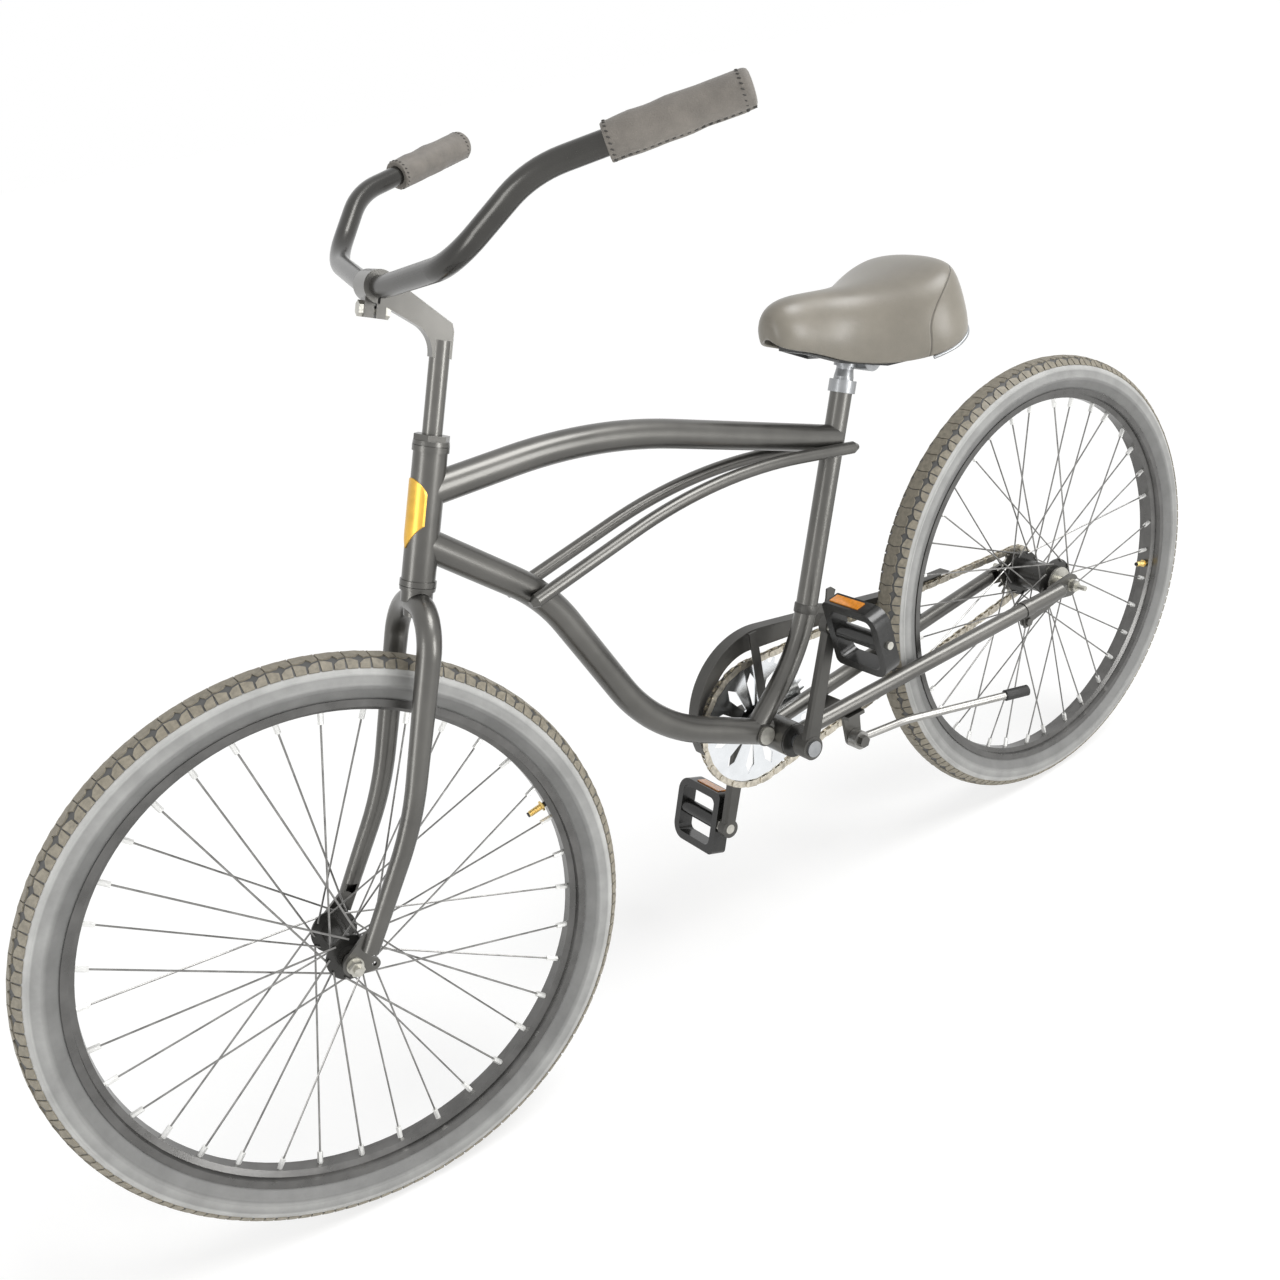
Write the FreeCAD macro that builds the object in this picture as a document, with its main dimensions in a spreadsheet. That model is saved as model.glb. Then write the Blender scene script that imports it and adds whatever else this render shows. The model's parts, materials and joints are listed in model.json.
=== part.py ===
import FreeCAD, Part
import math
import os
from types import SimpleNamespace

import Sketcher

# Beach cruiser bicycle in millimetres: X forward, Y to the rider's left, Z up.
# The origin is on the ground, in the frame's middle plane, midway between the axles.
# "ahead" is measured forward from the rear axle, "height" up from the ground and
# "along" up the steering axis from the point abreast of the front axle.

SIZES = {
    # layout
    "wheelbase": 1168.0,
    "wheel_radius": 333.0,
    "head_angle": 69.0,
    "fork_rake": 48.0,
    "steer_angle": -8.4,
    "bracket_ahead": 537.0,
    "bracket_height": 310.0,
    "overrun": 1.0,
    "running_gap": 0.3,
    "slide_gap": 0.05,
    # frame tubes
    "tube_wall": 1.6,
    "head_tube_diameter": 36.0,
    "head_tube_bore": 31.0,
    "head_tube_start": 411.5,
    "head_tube_length": 136.0,
    "main_tube_diameter": 34.9,
    "top_tube_along": 505.5,
    "top_tube_bend_share": 0.6232,
    "top_tube_bend_radius": 680.0,
    "top_tube_drop": 75.0,
    "down_tube_along": 452.0,
    "down_tube_shoulder_share": 0.6966,
    "down_tube_shoulder_height": 626.0,
    "down_tube_shoulder_radius": 220.0,
    "down_tube_heel_share": 0.4432,
    "down_tube_heel_height": 403.0,
    "down_tube_heel_radius": 230.0,
    "seat_tube_diameter": 28.6,
    "seat_tube_ahead": 349.0,
    "seat_tube_height": 740.0,
    "seat_angle": 68.4,
    "seat_tube_knee_rise": 100.85,
    "seat_tube_bend_radius": 260.0,
    "seat_tube_landing": 41.0,
    "tank_bar_diameter": 15.9,
    "tank_bar_front_lead": 25.5,
    "tank_bar_front_rise": 9.0,
    "tank_bar_bend_share": 0.5508,
    "tank_bar_crest": 47.33,
    "tank_bar_bend_run": 132.1,
    "tank_bar_rear_drop": 82.5,
    "tank_bar_rear_back": 14.4,
    "stay_diameter": 22.2,
    "stay_front_side": 24.0,
    "stay_rear_side": 61.5,
    "stay_rear_ahead": 26.0,
    "stay_rear_rise": 2.0,
    "rear_spacing": 110.0,
    "dropout_thickness": 5.0,
    "dropout_radius": 17.0,
    "dropout_slot": 10.0,
    "bracket_shell_diameter": 46.0,
    "bracket_shell_bore": 40.0,
    "bracket_shell_width": 70.0,
    "plug_boss_diameter": 29.0,
    "plug_boss_reach": 19.0,
    "plug_ahead": 35.6,
    "plug_diameter": 24.0,
    "plug_thickness": 2.5,
    # seat clamp, post and saddle
    "collar_diameter": 35.0,
    "collar_turn_angle": 50.0,
    "collar_length": 16.0,
    "collar_ear": 13.0,
    "collar_ear_width": 20.0,
    "collar_slot": 2.5,
    "clamp_bolt_diameter": 6.0,
    "clamp_bolt_head": 11.0,
    "clamp_bolt_head_length": 5.0,
    "seat_post_diameter": 25.4,
    "seat_post_neck": 22.2,
    "seat_post_wall": 2.0,
    "seat_post_depth": 210.0,
    "seat_post_step": 4.0,
    "seat_post_taper": 9.0,
    "seat_post_rise": 30.0,
    "saddle_nose_lead": 116.0,
    "saddle_length": 268.0,
    "saddle_width": 222.0,
    "saddle_rise": 129.0,
    "saddle_depth": 112.0,
    "saddle_padding": 38.0,
    "saddle_skirt": 7.0,
    "saddle_pan_thickness": 3.0,
    "saddle_pan_gap": 0.3,
    "saddle_rail_diameter": 7.0,
    "saddle_rail_spread": 22.0,
    "saddle_rail_run": 76.0,
    "saddle_rail_bend": 18.0,
    "saddle_clamp_width": 58.0,
    "saddle_clamp_height": 26.0,
    "saddle_clamp_wall": 4.0,
    "saddle_bolt_back": 18.0,
    "saddle_bolt_diameter": 8.0,
    "saddle_bolt_head": 13.0,
    "saddle_bolt_head_length": 6.0,
    # head set, fork and front axle
    "steerer_diameter": 25.4,
    "steerer_bore": 21.2,
    "steerer_foot": 28.0,
    "cup_diameter": 39.0,
    "cup_bore": 26.4,
    "cup_recess": 35.0,
    "cup_skirt": 8.0,
    "cup_floor": 2.5,
    "cup_height": 6.0,
    "headset_ball": 3.3,
    "race_flange": 0.6,
    "race_height": 4.5,
    "locknut_flats": 34.0,
    "locknut_height": 6.5,
    "crown_boss_diameter": 34.0,
    "crown_boss_height": 12.0,
    "blade_diameter": 28.0,
    "blade_tip_diameter": 19.0,
    "blade_wall": 1.6,
    "blade_spread": 56.0,
    "blade_root_side": 9.0,
    "blade_bend_along": 205.0,
    "blade_bend_radius": 400.0,
    "blade_bend_angle": 13.0,
    "blade_tip_along": 16.0,
    "front_spacing": 100.0,
    "fork_end_thickness": 4.5,
    "fork_end_radius": 13.0,
    "fork_end_slot": 9.8,
    "eyelet_back": 21.0,
    "eyelet_radius": 7.0,
    "eyelet_bore": 5.2,
    "front_axle_diameter": 9.5,
    "front_axle_length": 142.0,
    "axle_nut_flats": 15.0,
    "axle_nut_length": 9.0,
    "axle_washer_diameter": 19.0,
    "axle_washer_thickness": 1.6,
    # stem, handlebar and grips
    "quill_diameter": 21.1,
    "quill_depth": 120.0,
    "stem_knee_along": 679.5,
    "stem_reach": 72.8,
    "stem_clamp_along": 705.5,
    "stem_clamp_diameter": 33.5,
    "stem_clamp_width": 38.0,
    "stem_neck_width": 15.0,
    "stem_throat_drop": 14.0,
    "stem_throat_radius": 30.0,
    "stem_blend": 36.0,
    "stem_top_rise": 14.0,
    "stem_top_back": 8.0,
    "stem_knee_back": 8.0,
    "stem_bolt_diameter": 8.0,
    "stem_bolt_head": 14.0,
    "stem_bolt_head_length": 5.0,
    "stem_ear_drop": 31.0,
    "stem_ear_width": 16.0,
    "stem_ear_thickness": 22.0,
    "wedge_length": 30.0,
    "bar_diameter": 22.2,
    "bar_wall": 1.6,
    "bar_flat_out": 30.0,
    "bar_flat_radius": 120.0,
    "bar_bend_out": 193.0,
    "bar_bend_back": 10.0,
    "bar_bend_rise": 24.0,
    "bar_bend_radius": 90.0,
    "bar_sweep_out": 257.0,
    "bar_sweep_back": 47.0,
    "bar_sweep_rise": 105.0,
    "bar_sweep_radius": 110.0,
    "bar_end_out": 345.0,
    "bar_end_back": 193.0,
    "bar_end_rise": 191.0,
    "grip_length": 124.0,
    "grip_diameter": 33.0,
    "grip_mouth_diameter": 31.0,
    "grip_cap": 3.0,
    "grip_lip": 6.0,
    # wheels
    "tyre_width": 53.0,
    "tyre_wall": 3.0,
    "tread_height": 1.4,
    "tread_width": 42.0,
    "tread_groove": 2.4,
    "tread_groove_side": 8.0,
    "bead_gap": 25.0,
    "bead_width": 4.6,
    "bead_height": 8.0,
    "inner_tube_wall": 1.2,
    "rim_radius": 286.0,
    "rim_width": 38.0,
    "rim_wall": 1.6,
    "bead_seat_radius": 279.5,
    "bead_shelf_side": 9.0,
    "rim_well_radius": 273.0,
    "rim_well_side": 6.0,
    "spoke_count": 36.0,
    "spoke_diameter": 2.0,
    "spoke_lead_angle": 60.0,
    "spoke_rim_side": 2.0,
    "spoke_elbow_gap": 1.1,
    "nipple_length": 11.0,
    "nipple_diameter": 4.2,
    "nipple_seat_gap": 0.5,
    "front_spoke_phase_angle": 0.4,
    "rear_spoke_phase_angle": 1.2,
    "valve_angle": 146.1,
    "rear_valve_angle": 196.0,
    "valve_diameter": 6.0,
    "valve_length": 38.0,
    "front_flange_radius": 26.0,
    "front_flange_side": 33.0,
    "front_barrel_radius": 11.5,
    "front_hub_bore": 14.0,
    "front_cup_radius": 11.5,
    "front_cup_depth": 9.0,
    "front_hub_end": 42.0,
    "flange_thickness": 2.4,
    "flange_hole_inset": 3.5,
    "hub_ball": 4.4,
    "rear_flange_radius": 34.0,
    "rear_flange_side": 30.0,
    "rear_barrel_radius": 22.0,
    "rear_hub_wall": 3.5,
    "rear_hub_end": 36.0,
    "rear_axle_length": 172.0,
    "rear_axle_end_diameter": 7.5,
    "rear_axle_end_gap": 0.5,
    "brake_shoe_wall": 3.4,
    "brake_shoe_length": 24.0,
    "brake_shoe_gap": 3.0,
    "brake_plate_radius": 23.0,
    "brake_plate_thickness": 3.0,
    "brake_arm_width": 17.0,
    "brake_arm_thickness": 4.0,
    "brake_arm_ahead": 98.0,
    "brake_clip_width": 13.0,
    "brake_clip_thickness": 1.4,
    # transmission
    "chain_side": 46.0,
    "chain_pitch": 12.7,
    "ring_teeth": 44.0,
    "sprocket_teeth": 18.0,
    "ring_thickness": 2.8,
    "roller_radius": 3.85,
    "roller_seat_gap": 0.4,
    "tooth_root_half": 2.2,
    "tooth_tip_half": 0.9,
    "tooth_rise": 4.0,
    "chain_inner_width": 3.6,
    "chain_plate": 1.2,
    "chain_plate_gap": 0.05,
    "chain_plate_height": 8.4,
    "ring_bore": 28.0,
    "ring_window_count": 11.0,
    "ring_window_inner": 26.0,
    "ring_window_outer": 74.0,
    "ring_window_shoulder": 61.0,
    "ring_window_width": 15.0,
    "ring_window_foot": 3.0,
    "sprocket_bore": 30.0,
    "driver_radius": 13.0,
    "driver_bore": 12.0,
    "driver_length": 27.0,
    "clutch_radius": 14.5,
    "clutch_length": 22.0,
    "crank_angle": 109.0,
    "crank_length": 165.0,
    "crank_boss_radius": 16.0,
    "crank_eye_radius": 13.0,
    "crank_boss_width": 25.0,
    "crank_eye_width": 20.0,
    "crank_bevel": 3.0,
    "crank_boss_proud": 1.0,
    "crank_thickness": 13.0,
    "left_crank_inner": 50.0,
    "left_crank_face": 58.0,
    "right_crank_face": 62.0,
    "crank_flare": 7.0,
    "spindle_diameter": 17.0,
    "spindle_square": 12.6,
    "spindle_shoulder": 46.0,
    "crank_cap_diameter": 22.0,
    "crank_cap_thickness": 3.0,
    "cup_depth": 12.0,
    "cup_flange_diameter": 45.0,
    "cup_flange_width": 3.5,
    "bracket_cup_bore": 19.0,
    "bracket_race_radius": 15.5,
    "bracket_race_width": 7.5,
    "bracket_ball": 5.8,
    "pedal_thread": 14.0,
    "pedal_spindle_neck": 10.0,
    "pedal_spindle_length": 96.0,
    "pedal_spindle_collar": 5.0,
    "pedal_width": 92.0,
    "pedal_length": 92.0,
    "pedal_height": 24.0,
    "pedal_rail": 11.0,
    "pedal_barrel_diameter": 22.0,
    "pedal_corner": 22.0,
    "pedal_window_corner": 9.0,
    "pedal_inner_corner": 8.0,
    "pedal_left_pitch_angle": -81.0,
    "pedal_right_pitch_angle": -111.0,
    "reflector_width": 48.0,
    "reflector_height": 14.0,
    "reflector_thickness": 3.0,
    # chain guard
    "guard_side": 55.0,
    "guard_sheet": 1.2,
    "guard_band": 19.0,
    "guard_radius": 110.0,
    "guard_inner_radius": 74.0,
    "guard_centre_back": 10.0,
    "guard_centre_rise": 26.0,
    "guard_front_angle": -16.0,
    "guard_crest_angle": 100.0,
    "guard_tail_ahead": 150.0,
    "guard_tail_height": 391.0,
    "guard_tail_depth": 18.0,
    "guard_kink_ahead": 268.0,
    "guard_kink_height": 400.0,
    "guard_strip_width": 13.0,
    "guard_strip_sheet": 2.0,
    "guard_strip_side": 34.5,
    "guard_clip_ahead": 205.0,
    # kick stand
    "stand_pivot_ahead": 432.0,
    "stand_pivot_side": 40.0,
    "stand_pivot_height": 264.0,
    "stand_bracket_thickness": 5.0,
    "stand_plate_width": 30.0,
    "stand_cheek_radius": 13.0,
    "stand_rod_diameter": 11.0,
    "stand_knee_ahead": 350.0,
    "stand_knee_side": 46.0,
    "stand_knee_height": 257.0,
    "stand_knee_radius": 90.0,
    "stand_tip_ahead": 158.0,
    "stand_tip_side": 98.0,
    "stand_tip_height": 236.0,
    "stand_foot_length": 34.0,
    "stand_foot_diameter": 16.0,
    "stand_hub_length": 14.0,
    "stand_bolt_head": 15.0,
    "stand_bolt_head_length": 7.0,
    # head badge
    "badge_height": 74.0,
    "badge_width": 33.0,
    "badge_thickness": 1.2,
    "badge_shoulder": 26.0,
    "badge_along": 482.0,
}

doc = FreeCAD.newDocument("BeachCruiser")
sheet = doc.addObject("Spreadsheet::Sheet", "Sizes")
for row, (alias, number) in enumerate(SIZES.items(), start=1):
    sheet.set(f"A{row}", alias.replace("_", " "))
    sheet.set(f"B{row}", str(number))
    sheet.setAlias(f"B{row}", alias)
doc.recompute()

V = FreeCAD.Vector
Place = FreeCAD.Placement
Turn = FreeCAD.Rotation
X_AXIS = V(1, 0, 0)
Y_AXIS = V(0, 1, 0)
Z_AXIS = V(0, 0, 1)
SIDES = (1, -1)


class Bound:
    """A length that keeps its number together with the sheet formula it comes from."""

    def __init__(self, formula, number):
        self.formula = formula
        self.number = number

    def joined(self, sign, other):
        formula = other.formula if isinstance(other, Bound) else str(other)
        number = other.number if isinstance(other, Bound) else other
        results = {"+": self.number + number, "-": self.number - number, "*": self.number * number}
        if sign == "/":
            results["/"] = self.number / number
        return Bound(f"({self.formula} {sign} {formula})", results[sign])

    def __add__(self, other):
        return self.joined("+", other)

    def __sub__(self, other):
        return self.joined("-", other)

    def __mul__(self, other):
        return self.joined("*", other)

    def __truediv__(self, other):
        return self.joined("/", other)

    def __neg__(self):
        return self.joined("*", -1)


mm = SimpleNamespace(**{alias: float(sheet.get(alias)) for alias in SIZES})
cell = SimpleNamespace(**{alias: Bound(f"Sizes.{alias}", float(sheet.get(alias))) for alias in SIZES})
ZERO = Bound("0", 0.0)
sub_parts = []


# Document objects

def keep(thing, label):
    """Name a finished sub-part and add it to the list that is written out."""
    thing.Label = label
    sub_parts.append(thing)
    return thing


def solid_feature(label, shape, place=None):
    """A sub-part whose shape is worked out in code."""
    thing = doc.addObject("Part::Feature", label)
    thing.Shape = shape
    if place is not None:
        thing.Placement = place
    return keep(thing, label)


def primitive(kind, name, place, **lengths):
    thing = doc.addObject(f"Part::{kind}", name)
    for prop, length in lengths.items():
        thing.setExpression(prop, length.formula)
    thing.Placement = place
    return thing


def cut(name, base, tool):
    thing = doc.addObject("Part::Cut", name)
    thing.Base = base
    thing.Tool = tool
    return thing


def fuse(name, *pieces):
    thing = doc.addObject("Part::MultiFuse", name)
    thing.Shapes = list(pieces)
    return thing


def group(name, *pieces):
    thing = doc.addObject("Part::Compound", name)
    thing.Links = list(pieces)
    return thing


def across(width, side=0.0):
    """Placement that lays a Z-aligned primitive along Y, its middle at the given side."""
    return Place(V(0, side - width / 2, 0), Turn(X_AXIS, -90))


def ring(name, outer, inner, width, place, side=ZERO):
    """A plain ring about Y: outer and inner radius, width, and where its middle lies along Y."""
    spot = place * across(width.number, side.number)
    disc = primitive("Cylinder", f"{name}_disc", spot, Radius=outer, Height=width)
    hole = primitive("Cylinder", f"{name}_hole", spot, Radius=inner, Height=width)
    return cut(name, disc, hole)


def turned(name, corners, place, plane="XY_Plane"):
    """A body of revolution about the sketch's upright axis; corners are (radius, along) pairs."""
    body = doc.addObject("PartDesign::Body", name)
    sketch = body.newObject("Sketcher::SketchObject", f"{name}_profile")
    origin_plane = next(item for item in body.Origin.OriginFeatures if item.Role == plane)
    sketch.AttachmentSupport = (origin_plane, [""])
    sketch.MapMode = "FlatFace"
    points = [V(radius.number, along.number, 0) for radius, along in corners]
    count = len(points)
    for index, point in enumerate(points):
        sketch.addGeometry(Part.LineSegment(point, points[(index + 1) % count]), False)
    for index in range(count):
        sketch.addConstraint(Sketcher.Constraint("Coincident", index, 2, (index + 1) % count, 1))
    for index, corner in enumerate(corners):
        for kind, length in zip(("DistanceX", "DistanceY"), corner):
            number = sketch.addConstraint(Sketcher.Constraint(kind, -1, 1, index, 1, length.number))
            sketch.setExpression(f"Constraints[{number}]", length.formula)
    turn = body.newObject("PartDesign::Revolution", f"{name}_turn")
    turn.Profile = sketch
    turn.ReferenceAxis = (sketch, ["V_Axis"])
    turn.Angle = 360
    sketch.Visibility = False
    body.Placement = place
    return body


# Shapes worked out in code

def cylinder(radius, start, end):
    return Part.makeCylinder(radius, (end - start).Length, start, end - start)


def polygon_prism(points, depth):
    """A straight prism on a closed outline of points, extruded by the vector depth."""
    return Part.Face(Part.makePolygon(list(points) + [points[0]])).extrude(depth)


def hexagon_prism(flats, start, depth):
    """A hexagonal nut or bolt head: width across flats, foot centre and direction with length."""
    turn = Turn(Z_AXIS, depth)
    corner = flats / math.sqrt(3)
    points = [start + turn.multVec(V(corner * math.cos(angle), corner * math.sin(angle), 0))
              for angle in (math.radians(60 * step) for step in range(6))]
    return polygon_prism(points, depth)


def bent_path(corners, bend_radii):
    """Straight runs through the corners, each inner corner rounded by its own bend radius."""
    edges = []
    start = corners[0]
    for before, corner, after, radius in zip(corners, corners[1:], corners[2:], bend_radii):
        back = (before - corner).normalize()
        on = (after - corner).normalize()
        half = back.getAngle(on) / 2
        reach = radius / math.tan(half)
        inward = (back + on).normalize()
        crest = corner + inward * (radius / math.sin(half) - radius)
        first = corner + back * reach
        last = corner + on * reach
        edges.append(Part.LineSegment(start, first).toShape())
        edges.append(Part.Arc(first, crest, last).toShape())
        start = last
    edges.append(Part.LineSegment(start, corners[-1]).toShape())
    return Part.Wire(edges)


def swept(path, radius, end_radius=None):
    """A solid round bar along a path, tapering to the end radius where one is given."""
    outlines = []
    first = path.Edges[0]
    last = path.Edges[-1]
    for edge, at, size in ((first, first.FirstParameter, radius), (last, last.LastParameter, end_radius)):
        if size is not None:
            outlines.append(Part.Wire(Part.makeCircle(size, edge.valueAt(at), edge.tangentAt(at))))
    return path.makePipeShell(outlines, True, False)


def rounded_outline(corners, bend_radii):
    """A closed flat wire through the corners, each of them rounded by its own radius."""
    middle = (corners[0] + corners[-1]) / 2
    return bent_path([middle] + corners + [middle], bend_radii)


def rounded_hull(first, first_radius, second, second_radius, depth):
    """A plate round two pegs: their centres and radii in one plane, extruded by the vector depth."""
    axis = V(depth).normalize()
    run = second - first
    lean = math.asin((first_radius - second_radius) / run.Length)
    side = axis.cross(V(run).normalize())
    along = V(run).normalize()
    left = side * math.cos(lean) + along * math.sin(lean)
    right = side * -math.cos(lean) + along * math.sin(lean)
    edges = [
        Part.LineSegment(first + left * first_radius, second + left * second_radius).toShape(),
        Part.Arc(second + left * second_radius, second + along * second_radius,
                 second + right * second_radius).toShape(),
        Part.LineSegment(second + right * second_radius, first + right * first_radius).toShape(),
        Part.Arc(first + right * first_radius, first - along * first_radius,
                 first + left * first_radius).toShape(),
    ]
    return Part.Face(Part.Wire(edges)).extrude(depth)


def torus(radius, section, place):
    return Part.makeTorus(radius, section).transformGeometry(place.toMatrix())


def ball_ring(name, outer, level, ball, place, plane="XY_Plane"):
    """A caged row of balls as one six-sided ring: its outer radius, middle level and ball diameter."""
    edge = ball / 4
    half = ball / 2
    outside = outer - edge / 2
    inside = outer - ball + edge / 2
    corners = [(outer - half, level - half), (outside, level - edge), (outside, level + edge),
               (outer - half, level + half), (inside, level + edge), (inside, level - edge)]
    return turned(name, corners, place, plane)


# Places that several pieces share

axle_rear = V(-mm.wheelbase / 2, 0, mm.wheel_radius)
axle_front = V(mm.wheelbase / 2, 0, mm.wheel_radius)
head_turn = Turn(Y_AXIS, mm.head_angle - 90)
steer_origin = axle_front - head_turn.multVec(X_AXIS) * mm.fork_rake
head_place = Place(steer_origin, head_turn)
fork_place = head_place * Place(V(), Turn(Z_AXIS, mm.steer_angle))
front_wheel_place = fork_place * Place(V(mm.fork_rake, 0, 0), Turn())
rear_wheel_place = Place(axle_rear, Turn())
bracket = V(axle_rear.x + mm.bracket_ahead, 0, mm.bracket_height)
bracket_place = Place(bracket, Turn())
seat_turn = Turn(Y_AXIS, mm.seat_angle - 90)
head_top = mm.head_tube_start + mm.head_tube_length
headset_stack = mm.cup_height + mm.race_flange + mm.race_height
crown_top = mm.head_tube_start - headset_stack


def frame_point(ahead, height, side=0.0):
    return V(axle_rear.x + ahead, side, height)


seat_top = frame_point(mm.seat_tube_ahead, mm.seat_tube_height)
seat_place = Place(seat_top, seat_turn)


def seat_point(along, forward=0.0, side=0.0):
    return seat_place.multVec(V(forward, side, along))


# Frame

head_solid = cylinder(mm.head_tube_diameter / 2, head_place.multVec(V(0, 0, mm.head_tube_start)),
                      head_place.multVec(V(0, 0, head_top)))
shell_solid = cylinder(mm.bracket_shell_diameter / 2, bracket - Y_AXIS * mm.bracket_shell_width / 2,
                       bracket + Y_AXIS * mm.bracket_shell_width / 2)

shell_room = cylinder(mm.bracket_shell_diameter / 2, bracket - Y_AXIS * mm.bracket_shell_width,
                      bracket + Y_AXIS * mm.bracket_shell_width)

top_tube_start = head_place.multVec(V(0, 0, mm.top_tube_along))
top_tube_end = seat_point(-mm.top_tube_drop)
top_tube_bend = top_tube_end.x + (top_tube_start.x - top_tube_end.x) * mm.top_tube_bend_share
top_tube_path = bent_path([top_tube_start, V(top_tube_bend, 0, top_tube_start.z), top_tube_end],
                          [mm.top_tube_bend_radius])
down_tube_start = head_place.multVec(V(0, 0, mm.down_tube_along))
down_tube_reach = down_tube_start.x - bracket.x
down_tube_shoulder = V(bracket.x + down_tube_reach * mm.down_tube_shoulder_share, 0,
                       mm.down_tube_shoulder_height)
down_tube_heel = V(bracket.x + down_tube_reach * mm.down_tube_heel_share, 0, mm.down_tube_heel_height)
down_tube_path = bent_path([down_tube_start, down_tube_shoulder, down_tube_heel, bracket],
                           [mm.down_tube_shoulder_radius, mm.down_tube_heel_radius])
down_tube_rise = (down_tube_heel - bracket).normalize()
seat_tube_knee = seat_point((bracket.z + mm.seat_tube_knee_rise - seat_top.z) / seat_turn.multVec(Z_AXIS).z)
seat_tube_path = bent_path([seat_top, seat_tube_knee, bracket + down_tube_rise * mm.seat_tube_landing],
                           [mm.seat_tube_bend_radius])

top_tube_solid = swept(top_tube_path, mm.main_tube_diameter / 2)
down_tube_solid = swept(down_tube_path, mm.main_tube_diameter / 2)
seat_tube_solid = swept(seat_tube_path, mm.seat_tube_diameter / 2)
plug_centre = bracket + down_tube_rise * mm.plug_ahead
boss_solid = cylinder(mm.plug_boss_diameter / 2, plug_centre, plug_centre + Y_AXIS * mm.plug_boss_reach)


def head_tube():
    spot = head_place * Place(V(0, 0, mm.head_tube_start), Turn())
    outside = primitive("Cylinder", "head_tube_outside", spot, Radius=cell.head_tube_diameter / 2,
                        Height=cell.head_tube_length)
    bore = primitive("Cylinder", "head_tube_inside", spot, Radius=cell.head_tube_bore / 2,
                     Height=cell.head_tube_length)
    keep(cut("head_tube_ring", outside, bore), "head_tube")


def main_tubes():
    inner = mm.main_tube_diameter / 2 - mm.tube_wall
    top_tube = top_tube_solid.cut(swept(top_tube_path, inner))
    solid_feature("top_tube", top_tube.cut([head_solid, seat_tube_solid]))
    down_tube = down_tube_solid.cut(swept(down_tube_path, inner)).fuse(boss_solid)
    solid_feature("down_tube", down_tube.cut([head_solid, shell_solid, seat_tube_solid]))
    seat_bore = mm.seat_post_diameter / 2 + mm.slide_gap
    solid_feature("seat_tube", seat_tube_solid.cut([swept(seat_tube_path, seat_bore), shell_solid]))
    plug_seat = plug_centre + Y_AXIS * mm.plug_boss_reach
    plug_face = plug_seat + Y_AXIS * mm.plug_thickness
    solid_feature("shell_plug", cylinder(mm.plug_diameter / 2, plug_seat, plug_face))


def tank_bars():
    """The pair of slim bars that lie along both sides of the main tubes, with tapered closed ends."""
    radius = mm.tank_bar_diameter / 2
    front_side = (mm.main_tube_diameter + mm.tank_bar_diameter) / 2
    rear_side = (mm.seat_tube_diameter + mm.tank_bar_diameter) / 2
    bars = []
    for side in SIDES:
        front = down_tube_shoulder + V(mm.tank_bar_front_lead, side * front_side, mm.tank_bar_front_rise)
        rear = seat_point(-mm.tank_bar_rear_drop, -mm.tank_bar_rear_back, side * rear_side)
        crest = front + (rear - front) * mm.tank_bar_bend_share + Z_AXIS * mm.tank_bar_crest
        corners = [front, crest, rear]
        bend_radius = mm.tank_bar_bend_run * math.tan((front - crest).getAngle(rear - crest) / 2)
        path = bent_path(corners, [bend_radius])
        bar = swept(path, radius)
        for end, inward in ((corners[0], corners[1]), (corners[2], corners[1])):
            outward = (end - inward).normalize()
            bar = bar.fuse(Part.makeCone(radius, radius / 2, radius, end, outward))
        bar = bar.cut(swept(path, radius - mm.tube_wall))
        bars.append(bar.cut([down_tube_solid, seat_tube_solid, top_tube_solid]))
    solid_feature("tank_bars", Part.makeCompound(bars))


def bracket_shell():
    keep(ring("shell_ring", cell.bracket_shell_diameter / 2, cell.bracket_shell_bore / 2,
              cell.bracket_shell_width, bracket_place), "bottom_bracket_shell")


def stay_ends(side):
    front = V(bracket.x, side * mm.stay_front_side, bracket.z)
    rear = V(axle_rear.x + mm.stay_rear_ahead, side * mm.stay_rear_side, axle_rear.z + mm.stay_rear_rise)
    return front, rear


def chainstay(side, label):
    front, rear = stay_ends(side)
    heading = (rear - front).normalize()
    tube = cylinder(mm.stay_diameter / 2, front, rear)
    tip = Part.makeCone(mm.stay_diameter / 2, mm.stay_diameter / 4, mm.stay_diameter / 2, rear, heading)
    bore = cylinder(mm.stay_diameter / 2 - mm.tube_wall, front, rear - heading * mm.tube_wall)
    inner_face = side * mm.rear_spacing / 2
    depth = Y_AXIS * (side * mm.dropout_thickness)
    centre = V(axle_rear.x, inner_face, axle_rear.z)
    root = V(rear.x + mm.dropout_radius, inner_face, rear.z)
    plate = rounded_hull(centre, mm.dropout_radius, root, mm.stay_diameter / 2, depth)
    slot = Part.makeBox(mm.dropout_radius * 2, mm.dropout_thickness * 3, mm.dropout_slot)
    slot.translate(V(centre.x - mm.dropout_radius * 2, inner_face - mm.dropout_thickness * 1.5,
                     centre.z - mm.dropout_slot / 2))
    eye = cylinder(mm.dropout_slot / 2, centre - depth, centre + depth * 2)
    clear_inside = Part.makeBox(mm.bracket_ahead, mm.rear_spacing / 2, mm.wheel_radius)
    inside_corner = V(axle_rear.x - mm.dropout_radius * 2, 0 if side > 0 else -mm.rear_spacing / 2, 0)
    clear_inside.translate(inside_corner + Z_AXIS * (axle_rear.z - mm.wheel_radius / 2))
    reach = mm.dropout_radius * 2 + mm.stay_rear_ahead + mm.dropout_radius
    clear_inside = clear_inside.common(Part.makeBox(reach, mm.rear_spacing, mm.wheel_radius * 2,
                                                    inside_corner - Y_AXIS * mm.rear_spacing / 4))
    stay = tube.fuse([tip, plate]).cut([bore, slot, eye, shell_room, clear_inside])
    solid_feature(label, stay)


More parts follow.
